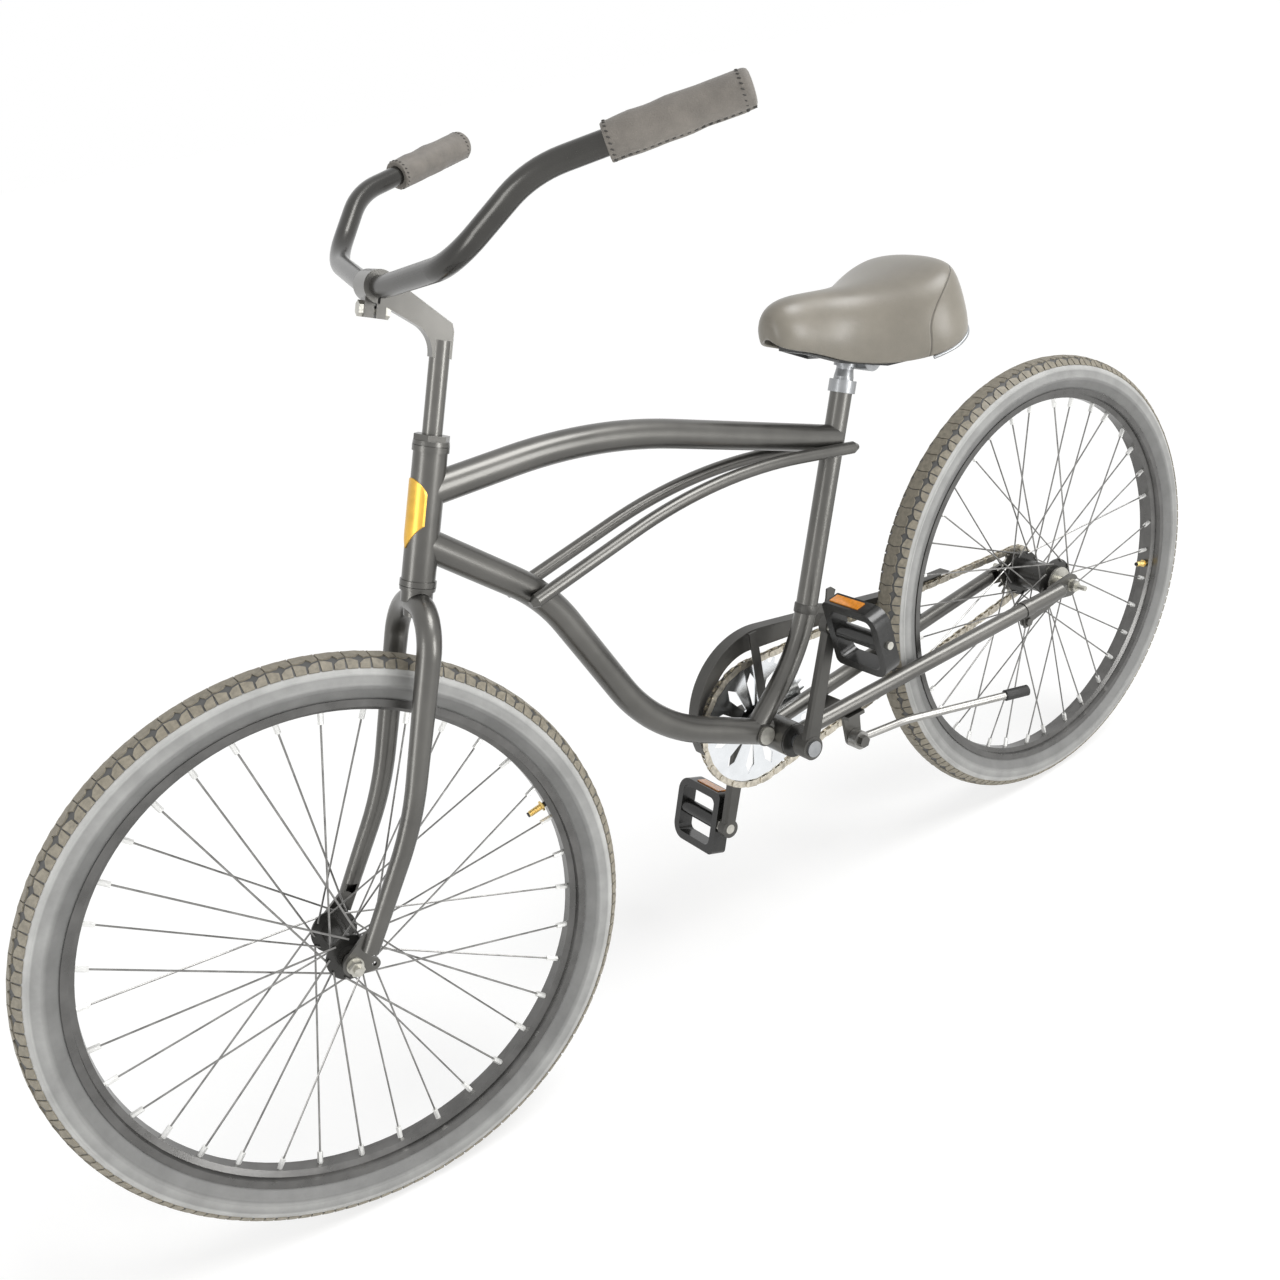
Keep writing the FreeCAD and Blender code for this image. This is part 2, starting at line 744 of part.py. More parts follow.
def seat_clamp():
    """A split collar round the top of the seat tube with its bolt behind."""
    ear_depth = mm.collar_diameter / 2 + mm.collar_ear
    collar = Part.makeCylinder(mm.collar_diameter / 2, mm.collar_length, V(0, 0, -mm.collar_length))
    ear = Part.makeBox(ear_depth, mm.collar_ear_width, mm.collar_length,
                       V(-ear_depth, -mm.collar_ear_width / 2, -mm.collar_length))
    bore = Part.makeCylinder(mm.seat_tube_diameter / 2, mm.collar_length, V(0, 0, -mm.collar_length))
    slot = Part.makeBox(ear_depth, mm.collar_slot, mm.collar_length,
                        V(-ear_depth, -mm.collar_slot / 2, -mm.collar_length))
    bolt_spot = V(-ear_depth + mm.collar_ear / 2, 0, -mm.collar_length / 2)
    reach = Y_AXIS * (mm.collar_ear_width / 2)
    hole = cylinder(mm.clamp_bolt_diameter / 2, bolt_spot - reach, bolt_spot + reach)
    head = hexagon_prism(mm.clamp_bolt_head, bolt_spot + reach, Y_AXIS * mm.clamp_bolt_head_length)
    nut = hexagon_prism(mm.clamp_bolt_head, bolt_spot - reach, Y_AXIS * -mm.clamp_bolt_head_length)
    pieces = [collar.fuse(ear).cut([bore, slot, hole]), hole.fuse([head, nut])]
    spot = seat_place * Place(V(), Turn(Z_AXIS, mm.collar_turn_angle))
    solid_feature("seat_clamp", Part.makeCompound(pieces), spot)


def head_badge():
    """A blank shield plate bent round the front of the head tube."""
    outer = Part.makeCylinder(mm.head_tube_diameter / 2 + mm.badge_thickness, mm.badge_height)
    inner = Part.makeCylinder(mm.head_tube_diameter / 2, mm.badge_height)
    half = mm.badge_width / 2
    top = mm.badge_height
    edges = [
        Part.LineSegment(V(0, -half, top - half), V(0, -half, mm.badge_shoulder)).toShape(),
        Part.LineSegment(V(0, -half, mm.badge_shoulder), V(0, 0, 0)).toShape(),
        Part.LineSegment(V(0, 0, 0), V(0, half, mm.badge_shoulder)).toShape(),
        Part.LineSegment(V(0, half, mm.badge_shoulder), V(0, half, top - half)).toShape(),
        Part.Arc(V(0, half, top - half), V(0, 0, top), V(0, -half, top - half)).toShape(),
    ]
    shield = Part.Face(Part.Wire(edges)).extrude(X_AXIS * mm.head_tube_diameter)
    spot = head_place * Place(V(0, 0, mm.badge_along - mm.badge_height / 2), Turn())
    solid_feature("head_badge", outer.cut(inner).common(shield), spot)


# Head set

def cup_profile(base, up):
    """A pressed cup: base is the tube's end, up is 1 at the top of the tube and -1 at the bottom."""
    bore = cell.cup_bore / 2
    seat = cell.head_tube_bore / 2
    rim = cell.cup_diameter / 2
    recess = cell.cup_recess / 2
    skirt = base - cell.cup_skirt * up
    mouth = base + cell.cup_height * up
    return [(bore, skirt), (seat, skirt), (seat, base), (rim, base), (rim, mouth), (recess, mouth),
            (recess, base + cell.cup_floor * up), (bore, base + cell.cup_floor * up)]


def race_profile(base, up):
    """The race that faces a cup, on the steerer."""
    bore = cell.steerer_diameter / 2
    lip = cell.cup_recess / 2 - cell.running_gap
    rim = cell.cup_diameter / 2
    low = base + (cell.cup_floor + cell.headset_ball + cell.slide_gap * 2) * up
    shelf = base + (cell.cup_height + cell.race_flange) * up
    top = base + (cell.cup_height + cell.race_flange + cell.race_height) * up
    return [(bore, low), (lip, low), (lip, shelf), (rim, shelf), (rim - cell.race_flange, top), (bore, top)]


def headset():
    tube_top = cell.head_tube_start + cell.head_tube_length
    ends = ((tube_top, 1), (cell.head_tube_start, -1))
    cups = [turned(f"headset_cup_{up + 1}", cup_profile(base, up), head_place, "XZ_Plane")
            for base, up in ends]
    keep(group("headset_cup_pair", *cups), "headset_cups")
    races = [turned(f"headset_race_{up + 1}", race_profile(base, up), fork_place, "XZ_Plane")
             for base, up in ends]
    nut_spot = fork_place * Place(V(0, 0, head_top + headset_stack), Turn())
    nut = primitive("Prism", "locknut_hexagon", nut_spot, Circumradius=cell.locknut_flats / math.sqrt(3),
                    Height=cell.locknut_height)
    nut.Polygon = 6
    nut_bore = primitive("Cylinder", "locknut_bore", nut_spot, Radius=cell.steerer_diameter / 2,
                         Height=cell.locknut_height)
    keep(group("headset_race_set", *races, cut("locknut", nut, nut_bore)), "headset_races")
    rows = []
    for base, up in ends:
        level = base + (cell.cup_floor + cell.slide_gap + cell.headset_ball / 2) * up
        rows.append(ball_ring(f"headset_balls_{up + 1}", cell.cup_recess / 2 - cell.slide_gap, level,
                              cell.headset_ball, fork_place, "XZ_Plane"))
    keep(group("headset_ball_rows", *rows), "headset_bearings")


# Fork and front axle

def blade_path():
    """The left blade's middle line: out from the crown, down beside the wheel, then raked forward."""
    top = crown_top - mm.blade_diameter / 2
    lean = math.radians(mm.blade_bend_angle)
    knee = V(0, mm.blade_spread, mm.blade_bend_along - mm.blade_bend_radius * math.tan(lean / 2))
    tip = V((knee.z - mm.blade_tip_along) * math.tan(lean), mm.blade_spread, mm.blade_tip_along)
    corners = [V(0, 0, top), V(0, mm.blade_spread, top), knee, tip]
    root_bend = mm.blade_spread - mm.blade_root_side
    heading = (knee - tip).normalize()
    hollow = [V(0, mm.blade_spread, top - root_bend), knee, tip + heading * mm.fork_end_radius]
    inside = bent_path(hollow, [mm.blade_bend_radius])
    return bent_path(corners, [root_bend, mm.blade_bend_radius]), inside, tip


def fork_end(tip):
    """The left dropout plate: a fork-shaped slot for the axle and an eyelet behind it."""
    inner_face = mm.front_spacing / 2
    depth = Y_AXIS * mm.fork_end_thickness
    axle = V(mm.fork_rake, inner_face, 0)
    root = V(tip.x, inner_face, tip.z + mm.fork_end_radius)
    eyelet = V(mm.fork_rake - mm.eyelet_back, inner_face, 0)
    plate = rounded_hull(axle, mm.fork_end_radius, root, mm.blade_tip_diameter / 2, depth)
    plate = plate.fuse(rounded_hull(axle, mm.fork_end_radius, eyelet, mm.eyelet_radius, depth))
    slot = Part.makeBox(mm.fork_end_slot, mm.fork_end_thickness, mm.fork_end_radius * 2,
                        V(axle.x - mm.fork_end_slot / 2, inner_face, -mm.fork_end_radius * 2))
    holes = [slot, cylinder(mm.fork_end_slot / 2, axle - depth, axle + depth * 2),
             cylinder(mm.eyelet_bore / 2, eyelet - depth, eyelet + depth * 2)]
    return plate, holes


def fork():
    """Two hollow tapered blades butted to a crown with its steerer, and slotted plates in their tips."""
    path, hollow, tip = blade_path()
    root_radius = mm.blade_diameter / 2
    tip_radius = mm.blade_tip_diameter / 2
    outside = swept(path, root_radius, tip_radius)
    hollow_radius = tip_radius + (root_radius - tip_radius) * hollow.Length / path.Length
    inside = swept(hollow, hollow_radius - mm.blade_wall, tip_radius - mm.blade_wall)
    plate, holes = fork_end(tip)
    bay = Part.makeBox(mm.fork_rake * 4, mm.front_spacing / 2, mm.fork_rake * 2,
                       V(-mm.fork_rake * 2, 0, -mm.fork_rake))
    steerer_foot = crown_top - mm.steerer_foot
    steerer_length = head_top + headset_stack + mm.locknut_height - steerer_foot
    boss = Part.makeCylinder(mm.crown_boss_diameter / 2, mm.crown_boss_height,
                             V(0, 0, crown_top - mm.crown_boss_height))
    post = Part.makeCylinder(mm.steerer_diameter / 2, steerer_length, V(0, 0, steerer_foot))
    bore = Part.makeCylinder(mm.steerer_bore / 2, steerer_length, V(0, 0, steerer_foot))
    crown = boss.fuse(post)
    plate = plate.cut(holes)
    blade = outside.cut([inside, bay, crown, bore, plate] + holes)
    left = [blade, plate]
    right = [piece.mirror(V(), Y_AXIS) for piece in left]
    solid_feature("fork", Part.makeCompound([crown.cut(bore)] + left + right), fork_place)


def axle_nuts(label, place, face):
    """A washer and a nut on each end of an axle, seated on the outer faces of its dropouts."""
    pieces = []
    for side in SIDES:
        seat = Y_AXIS * (side * face)
        washer_end = Y_AXIS * (side * (face + mm.axle_washer_thickness))
        nut_end = Y_AXIS * (side * (face + mm.axle_washer_thickness + mm.axle_nut_length))
        hole = cylinder(mm.front_axle_diameter / 2, seat, nut_end)
        pieces.append(cylinder(mm.axle_washer_diameter / 2, seat, washer_end).cut(hole))
        pieces.append(hexagon_prism(mm.axle_nut_flats, washer_end, nut_end - washer_end).cut(hole))
    solid_feature(label, Part.makeCompound(pieces), place)


def front_axle():
    """The axle with its two bearing cones, and the caged balls that run on them."""
    rod = cell.front_axle_diameter / 2
    cone = cell.front_cup_radius - cell.hub_ball / 2
    face = cell.front_spacing / 2
    end = cell.front_axle_length / 2
    race = cell.front_hub_end - cell.front_cup_depth
    cone_start = race + cell.hub_ball + cell.slide_gap * 2
    right = [(ZERO, -end), (rod, -end), (rod, -face), (cone, -face), (cone, -cone_start), (rod, -cone_start)]
    profile = right + [(radius, -along) for radius, along in reversed(right)]
    pieces = [turned("front_axle_rod", profile, front_wheel_place)]
    for side in SIDES:
        level = (race + cell.slide_gap + cell.hub_ball / 2) * side
        pieces.append(ball_ring(f"front_balls_{side + 1}", cell.front_cup_radius - cell.slide_gap, level,
                                cell.hub_ball, front_wheel_place))
    keep(group("front_axle_set", *pieces), "front_axle")


# Stem, handlebar and grips

stem_clamp = V(mm.stem_reach, 0, mm.stem_clamp_along)


def bar_corners():
    def spot(out, back=0.0, rise=0.0):
        return stem_clamp + V(-back, out, rise)

    left = [spot(mm.bar_flat_out), spot(mm.bar_bend_out, mm.bar_bend_back, mm.bar_bend_rise),
            spot(mm.bar_sweep_out, mm.bar_sweep_back, mm.bar_sweep_rise),
            spot(mm.bar_end_out, mm.bar_end_back, mm.bar_end_rise)]
    right = [V(point.x, -point.y, point.z) for point in reversed(left)]
    return right + left


def stem_neck():
    """The flat-sided gooseneck: a curved throat in front, a sharp knee behind and a straight top."""
    front = mm.quill_diameter / 2
    foot = mm.stem_knee_along - mm.stem_blend
    clamp_low = stem_clamp - Z_AXIS * mm.stem_throat_drop
    clamp_top = stem_clamp + V(-mm.stem_top_back, 0, mm.stem_top_rise)
    throat = bent_path([V(front, 0, foot), V(front, 0, mm.stem_knee_along - mm.stem_throat_drop), clamp_low],
                       [mm.stem_throat_radius])
    back = [clamp_low, clamp_top, V(-mm.stem_knee_back, 0, mm.stem_knee_along),
            V(-front, 0, mm.stem_knee_along - mm.stem_knee_back), V(-front, 0, foot), V(front, 0, foot)]
    edges = throat.Edges + [Part.LineSegment(a, b).toShape() for a, b in zip(back, back[1:])]
    side = Part.Face(Part.Wire(edges))
    side.translate(Y_AXIS * (-mm.stem_neck_width / 2))
    return side.extrude(Y_AXIS * mm.stem_neck_width)


def stem():
    """A quill with the gooseneck on it, a split clamp round the handlebar, and both of its bolts."""
    quill_foot = Z_AXIS * (head_top - mm.quill_depth)
    quill = cylinder(mm.quill_diameter / 2, quill_foot, Z_AXIS * (mm.stem_knee_along - mm.stem_blend / 2))
    half_width = Y_AXIS * (mm.stem_clamp_width / 2)
    clamp = cylinder(mm.stem_clamp_diameter / 2, stem_clamp - half_width, stem_clamp + half_width)
    ear = Part.makeBox(mm.stem_ear_thickness, mm.stem_ear_width, mm.stem_ear_drop,
                       stem_clamp - V(mm.stem_ear_thickness / 2, mm.stem_ear_width / 2, mm.stem_ear_drop))
    bar_hole = cylinder(mm.bar_diameter / 2, stem_clamp - half_width, stem_clamp + half_width)
    split_drop = mm.stem_ear_drop + mm.overrun
    split = Part.makeBox(mm.collar_slot, mm.stem_clamp_width * 2, split_drop,
                         stem_clamp - V(mm.collar_slot / 2, mm.stem_clamp_width, split_drop))
    bolt_level = stem_clamp - Z_AXIS * (mm.stem_ear_drop - mm.stem_bolt_diameter)
    ear_half = X_AXIS * (mm.stem_ear_thickness / 2)
    pinch_hole = cylinder(mm.stem_bolt_diameter / 2, bolt_level - ear_half, bolt_level + ear_half)
    bolt_radius = mm.stem_bolt_diameter / 2
    bolt_hole = cylinder(bolt_radius, quill_foot, Z_AXIS * (mm.stem_knee_along + mm.stem_knee_back))
    heads = [hexagon_prism(mm.stem_bolt_head, bolt_level + ear_half * way,
                           X_AXIS * (way * mm.stem_bolt_head_length)) for way in SIDES]
    body = stem_neck().fuse([quill, clamp, ear]).cut([bar_hole, split, pinch_hole, bolt_hole] + heads)
    solid_feature("stem", body.removeSplitter(), fork_place)
    wedge = Part.makeCylinder(mm.quill_diameter / 2, mm.wedge_length, quill_foot - Z_AXIS * mm.wedge_length)
    expander = cylinder(bolt_radius, quill_foot, Z_AXIS * (mm.stem_knee_along - mm.stem_knee_back))
    bolts = [pinch_hole.fuse(heads), expander.fuse(wedge)]
    solid_feature("stem_bolts", Part.makeCompound(bolts), fork_place)


def handlebar():
    bends = [mm.bar_sweep_radius, mm.bar_bend_radius, mm.bar_flat_radius]
    path = bent_path(bar_corners(), bends + bends[::-1])
    radius = mm.bar_diameter / 2
    tube = swept(path, radius).cut(swept(path, radius - mm.bar_wall))
    solid_feature("handlebar", tube, fork_place)


def grips():
    """Closed-end grips on the last straight runs of the handlebar."""
    corners = bar_corners()
    bar = cell.bar_diameter / 2
    mouth = cell.grip_mouth_diameter / 2
    body = cell.grip_diameter / 2
    length = cell.grip_length
    profile = [(bar, ZERO), (mouth, ZERO), (body, cell.grip_lip), (body, length - cell.grip_lip),
               (mouth, length + cell.grip_cap), (ZERO, length + cell.grip_cap), (ZERO, length),
               (bar, length)]
    ends = (("grip_left", corners[-1], corners[-2]), ("grip_right", corners[0], corners[1]))
    for label, end, inner in ends:
        heading = (end - inner).normalize()
        spot = Place(end - heading * mm.grip_length, Turn(Z_AXIS, heading))
        keep(turned(f"{label}_body", profile, fork_place * spot, "XZ_Plane"), label)


# Wheels

def tyre(label, place):
    """A hollow casing with two beads on the rim's seats and a grooved tread band."""
    ring_radius = cell.wheel_radius - cell.tyre_width / 2
    section = cell.tyre_width / 2
    casing = section - cell.tread_height
    upright = place * Place(V(), Turn(X_AXIS, -90))

    def hoop(name, radius):
        return primitive("Torus", f"{label}_{name}", upright, Radius1=ring_radius, Radius2=radius)

    tread_edge = cell.tread_width
    band_place = place * across(tread_edge.number)
    band = primitive("Cylinder", f"{label}_tread_edge", band_place, Radius=cell.wheel_radius,
                     Height=tread_edge)
    core = primitive("Cylinder", f"{label}_tread_core", band_place, Radius=ring_radius, Height=tread_edge)
    tread = doc.addObject("Part::MultiCommon", f"{label}_tread")
    tread.Shapes = [cut(f"{label}_tread_ring", band, core), hoop("crown", section)]
    whole = fuse(f"{label}_whole", hoop("casing", casing), tread)
    hollow = cut(f"{label}_hollow", whole, hoop("air", section - cell.tyre_wall - cell.tread_height))
    mouth = primitive("Cylinder", f"{label}_mouth", place * across(mm.bead_gap), Radius=ring_radius,
                      Height=cell.bead_gap)
    opened = cut(f"{label}_opened", hollow, mouth)
    bead_outer = cell.bead_seat_radius + cell.bead_height
    pieces = [opened]
    for side in SIDES:
        middle = (cell.bead_gap + cell.bead_width) * (side / 2)
        pieces.append(ring(f"{label}_bead_{side + 1}", bead_outer, cell.bead_seat_radius, cell.bead_width,
                           place, middle))
    body = fuse(f"{label}_body", *pieces)
    for side in SIDES:
        groove = ring(f"{label}_groove_{side + 1}", cell.wheel_radius + cell.overrun,
                      cell.wheel_radius - cell.tread_height * 2, cell.tread_groove, place,
                      cell.tread_groove_side * side)
        body = cut(f"{label}_grooved_{side + 1}", body, groove)
    keep(body, label)


def inner_tube(label, place, angle):
    """A thin-walled tube inside the casing with its valve through the rim."""
    ring_radius = mm.wheel_radius - mm.tyre_width / 2
    section = mm.tyre_width / 2 - mm.tread_height - mm.tyre_wall - mm.running_gap
    turn = Place(V(), Turn(X_AXIS, 90))
    outside = torus(ring_radius, section, turn)
    air = torus(ring_radius, section - mm.inner_tube_wall, turn)
    inward = V(-math.cos(math.radians(angle)), 0, -math.sin(math.radians(angle)))
    root = inward * -(ring_radius - section + mm.inner_tube_wall)
    valve = cylinder(mm.valve_diameter / 2, root, root + inward * mm.valve_length)
    solid_feature(label, outside.fuse(valve).cut(air), place)


def rim(label, place, angle):
    """A single-wall steel rim: hooked flanges, bead shelves and a centre well, drilled for the valve."""
    half = cell.rim_width / 2
    wall = cell.rim_wall
    seat = cell.bead_seat_radius
    well = cell.rim_well_radius
    shelf = cell.bead_shelf_side
    well_side = cell.rim_well_side
    upper = [(cell.rim_radius, half), (cell.rim_radius, half - wall), (seat, half - wall), (seat, shelf),
             (well, well_side)]
    lower = [(seat - wall, half), (seat - wall, shelf + wall / 2), (well - wall, well_side + wall / 2)]
    profile = upper + [(radius, -along) for radius, along in reversed(upper)]
    profile += [(radius, -along) for radius, along in lower] + list(reversed(lower))
    hoop = turned(f"{label}_hoop", profile, place)
    turn = Turn(Y_AXIS, 90 - angle)
    spot = place * Place(V(), turn)
    drill = primitive("Cylinder", f"{label}_valve_drill", spot, Height=cell.rim_radius,
                      Radius=cell.valve_diameter / 2 + cell.slide_gap)
    keep(cut(f"{label}_drilled", hoop, drill), label)


def spokes(wheel, place, flange_radius, flange_side, phase):
    """Crossed spokes from both hub flanges to the rim, alternately leading and trailing."""
    per_flange = int(mm.spoke_count) // 2
    hub_radius = flange_radius - mm.flange_hole_inset
    offset = (mm.flange_thickness + mm.spoke_diameter) / 2 + mm.slide_gap
    rim_radius = mm.rim_well_radius - mm.rim_wall - mm.nipple_seat_gap
    wires = []
    nipples = []
    for side in SIDES:
        for index in range(per_flange):
            lead = 1 if index % 2 else -1
            half_step = 0.5 if side < 0 else 0.0
            rim_angle = math.radians(phase + 360.0 * (index + half_step) / per_flange)
            hub_angle = rim_angle + math.radians(mm.spoke_lead_angle) * lead
            foot = V(hub_radius * math.cos(hub_angle), side * (flange_side + flange_offset(lead, offset)),
                     hub_radius * math.sin(hub_angle))
            head = V(rim_radius * math.cos(rim_angle), side * mm.spoke_rim_side,
                     rim_radius * math.sin(rim_angle))
            run = (head - foot).normalize()
            nipple_foot = head - run * mm.nipple_length
            wires.append(hexagon_prism(mm.spoke_diameter, foot, nipple_foot - foot))
            nipples.append(hexagon_prism(mm.nipple_diameter, nipple_foot, head - nipple_foot))
    solid_feature(f"{wheel}_spokes", Part.makeCompound(wires), place)
    solid_feature(f"{wheel}_nipples", Part.makeCompound(nipples), place)


def flange_offset(lead, offset):
    """Leading spokes lie outside their flange and trailing ones inside, so that they pass each other."""
    return offset + mm.spoke_elbow_gap if lead > 0 else -offset


def front_hub():
    barrel = cell.front_barrel_radius
    bore = cell.front_hub_bore / 2
    cup = cell.front_cup_radius
    end = cell.front_hub_end
    floor = end - cell.front_cup_depth
    flange = cell.front_flange_radius
    side = cell.front_flange_side
    half = cell.flange_thickness / 2
    neck = cup + cell.flange_thickness
    lip = [(bore, floor), (cup, floor), (cup, end), (neck, end), (neck, side + half), (flange, side + half),
           (flange, side - half), (neck, side - half)]
    waist = [(barrel, ZERO)]
    profile = lip + waist + [(radius, -along) for radius, along in reversed(lip)]
    keep(turned("front_hub_body", profile, front_wheel_place), "front_hub_shell")


def rear_hub():
    barrel = cell.rear_barrel_radius
    bore = barrel - cell.rear_hub_wall
    end = cell.rear_hub_end
    flange = cell.rear_flange_radius
    side = cell.rear_flange_side
    half = cell.flange_thickness / 2
    rim_half = [(bore, end), (barrel, end), (barrel, side + half), (flange, side + half),
                (flange, side - half), (barrel, side - half)]
    profile = rim_half + [(radius, -along) for radius, along in reversed(rim_half)]
    keep(turned("rear_hub_body", profile, rear_wheel_place), "rear_hub_shell")


def rear_axle():
    """The fixed axle, its left brake plate and the right cone that the driver runs on."""
    radius = mm.front_axle_diameter / 2
    nut_face = mm.rear_spacing / 2 + mm.dropout_thickness + mm.axle_washer_thickness + mm.axle_nut_length
    thread_end = Y_AXIS * (nut_face + mm.rear_axle_end_gap)
    end = Y_AXIS * (mm.rear_axle_length / 2)
    rod = cylinder(radius, -thread_end, thread_end).fuse(cylinder(mm.rear_axle_end_diameter / 2, -end, end))
    shoe_radius = mm.rear_barrel_radius - mm.rear_hub_wall - mm.running_gap - mm.brake_shoe_wall
    anchor_end = mm.rear_hub_end + mm.running_gap
    anchor = cylinder(shoe_radius, Y_AXIS * (anchor_end - mm.brake_shoe_length), Y_AXIS * anchor_end)
    plate_end = anchor_end + mm.brake_plate_thickness
    plate = cylinder(mm.brake_plate_radius, Y_AXIS * anchor_end, Y_AXIS * plate_end)
    left = cylinder(radius * 2, Y_AXIS * anchor_end, Y_AXIS * (mm.rear_spacing / 2 - mm.brake_arm_thickness))
    cone_side = mm.rear_hub_end + mm.driver_length - mm.clutch_radius
    right = cylinder(radius * 2, Y_AXIS * -(cone_side + mm.running_gap), Y_AXIS * -(mm.rear_spacing / 2))
    solid_feature("rear_axle", rod.fuse([anchor, plate, left, right]), rear_wheel_place)
    outer = mm.rear_barrel_radius - mm.rear_hub_wall - mm.running_gap
    sleeve = cylinder(outer, Y_AXIS * (anchor_end - mm.brake_shoe_length), Y_AXIS * (mm.rear_hub_end))
    sleeve = sleeve.cut(anchor)
    gap = Part.makeBox(outer * 2, mm.rear_hub_end * 2, mm.brake_shoe_gap,
                       V(-outer, -mm.rear_hub_end / 2, -mm.brake_shoe_gap / 2))
    solid_feature("coaster_brake_shoes", Part.makeCompound(sleeve.cut(gap).Solids), rear_wheel_place)


def brake_arm():
    """The coaster brake's reaction arm, from the hub forward to a clip round the left chainstay."""
    face = mm.rear_spacing / 2 - mm.brake_arm_thickness
    front, rear = stay_ends(1)
    share = (mm.brake_arm_ahead - mm.stay_rear_ahead) / (mm.bracket_ahead - mm.stay_rear_ahead)
    clip_spot = rear + (front - rear) * share
    heading = (front - rear).normalize()
    drop = mm.stay_diameter / 2 + mm.brake_arm_width / 2
    tip = V(clip_spot.x, axle_rear.y + face, clip_spot.z - drop)
    depth = Y_AXIS * mm.brake_arm_thickness
    hub = V(axle_rear.x, face, axle_rear.z)
    arm = rounded_hull(hub, mm.brake_arm_width * 0.8, tip, mm.brake_arm_width / 2, depth)
    bore = cylinder(mm.front_axle_diameter / 2, hub - depth, hub + depth * 2)
    half = heading * (mm.brake_clip_width / 2)
    strap = cylinder(mm.stay_diameter / 2 + mm.brake_clip_thickness, clip_spot - half, clip_spot + half)
    strap = strap.cut(cylinder(mm.stay_diameter / 2, clip_spot - half * 2, clip_spot + half * 2))
    tab_top = clip_spot - Z_AXIS * (mm.stay_diameter / 2)
    tab = Part.makeBox(mm.brake_clip_width, mm.brake_arm_thickness, drop,
                       V(clip_spot.x - mm.brake_clip_width / 2, face + mm.brake_arm_thickness,
                         tab_top.z - mm.brake_arm_width))
    bolt = cylinder(mm.clamp_bolt_diameter / 2, tip, tip + depth * 2)
    head = hexagon_prism(mm.clamp_bolt_head, tip + depth * 2, depth)
    stay = cylinder(mm.stay_diameter / 2, front, rear)
    arm = arm.cut([bore, bolt, stay])
    strap = strap.fuse(tab).cut([bolt, stay, arm])
    solid_feature("coaster_brake_arm", Part.makeCompound([arm, strap, bolt.fuse(head)]))


# Transmission

def pitch_radius(teeth):
    return mm.chain_pitch / (2 * math.sin(math.pi / teeth))


def chain_joints():
    """Places of the chain's joints in the X-Z plane, and the phase angles of both toothed wheels."""
    big = pitch_radius(mm.ring_teeth)
    small = pitch_radius(mm.sprocket_teeth)
    span = bracket - axle_rear
    distance = span.Length
    base = math.atan2(span.z, span.x)
    lean = math.asin((big - small) / distance)
    straight = distance * math.cos(lean)
    upper = base + math.pi / 2 + lean
    ring_wrap = big * (math.pi + 2 * lean)
    sprocket_wrap = small * (math.pi - 2 * lean)
    total = 2 * straight + ring_wrap + sprocket_wrap
    count = 2 * round(total / mm.chain_pitch / 2)

    def on_circle(centre, radius, angle):
        return centre + V(radius * math.cos(angle), 0, radius * math.sin(angle))

    def at(length):
        if length < straight:
            start = on_circle(bracket, big, upper)
            return start + (on_circle(axle_rear, small, upper) - start) * (length / straight)
        length -= straight
        if length < sprocket_wrap:
            return on_circle(axle_rear, small, upper + length / small)
        length -= sprocket_wrap
        lower = base - math.pi / 2 - lean
        if length < straight:
            start = on_circle(axle_rear, small, lower)
            return start + (on_circle(bracket, big, lower) - start) * (length / straight)
        return on_circle(bracket, big, lower + (length - straight) / big)

    lengths = [total * index / count for index in range(count)]
    joints = [at(length) for length in lengths]

    def phase_near(centre, middle):
        nearest = min(range(count), key=lambda index: abs(lengths[index] - middle))
        arm = joints[nearest] - centre
        return math.atan2(arm.z, arm.x)

    ring_phase = phase_near(bracket, total - ring_wrap / 2)
    sprocket_phase = phase_near(axle_rear, straight + sprocket_wrap / 2)
    return joints, ring_phase, sprocket_phase


joints, ring_phase, sprocket_phase = chain_joints()


def toothed_outline(centre, teeth, phase):
    """A closed outline of trapezoid teeth whose gaps seat the chain's rollers."""
    count = int(teeth)
    pitch = pitch_radius(teeth)
    root = pitch - mm.roller_radius - mm.roller_seat_gap
    tip = pitch + mm.tooth_rise
    points = []
    for index in range(count):
        middle = phase + (index + 0.5) * 2 * math.pi / count
        for radius, half in ((root, -mm.tooth_root_half), (tip, -mm.tooth_tip_half),
                             (tip, mm.tooth_tip_half), (root, mm.tooth_root_half)):
            angle = middle + half / radius
            points.append(V(centre.x + radius * math.cos(angle), -mm.chain_side - mm.ring_thickness / 2,
                            centre.z + radius * math.sin(angle)))
    return points


def chainring():
    """The driven ring: a pressed disc with kite-shaped windows between the boss and the teeth."""
    depth = Y_AXIS * mm.ring_thickness
    disc = polygon_prism(toothed_outline(bracket, mm.ring_teeth, ring_phase), depth)
    tools = [cylinder(mm.ring_bore / 2, bracket - Y_AXIS * mm.chain_side * 2, bracket)]
    for index in range(int(mm.ring_window_count)):
        angle = ring_phase + index * 2 * math.pi / mm.ring_window_count
        out = V(math.cos(angle), 0, math.sin(angle))
        aside = V(-out.z, 0, out.x)
        foot = bracket - Y_AXIS * (mm.chain_side + mm.ring_thickness)
        kite = [foot + out * mm.ring_window_inner - aside * mm.ring_window_foot / 2,
                foot + out * mm.ring_window_shoulder - aside * mm.ring_window_width / 2,
                foot + out * mm.ring_window_outer,
                foot + out * mm.ring_window_shoulder + aside * mm.ring_window_width / 2,
                foot + out * mm.ring_window_inner + aside * mm.ring_window_foot / 2]
        tools.append(polygon_prism(kite, depth * 2))
    solid_feature("chainring", disc.cut(tools))


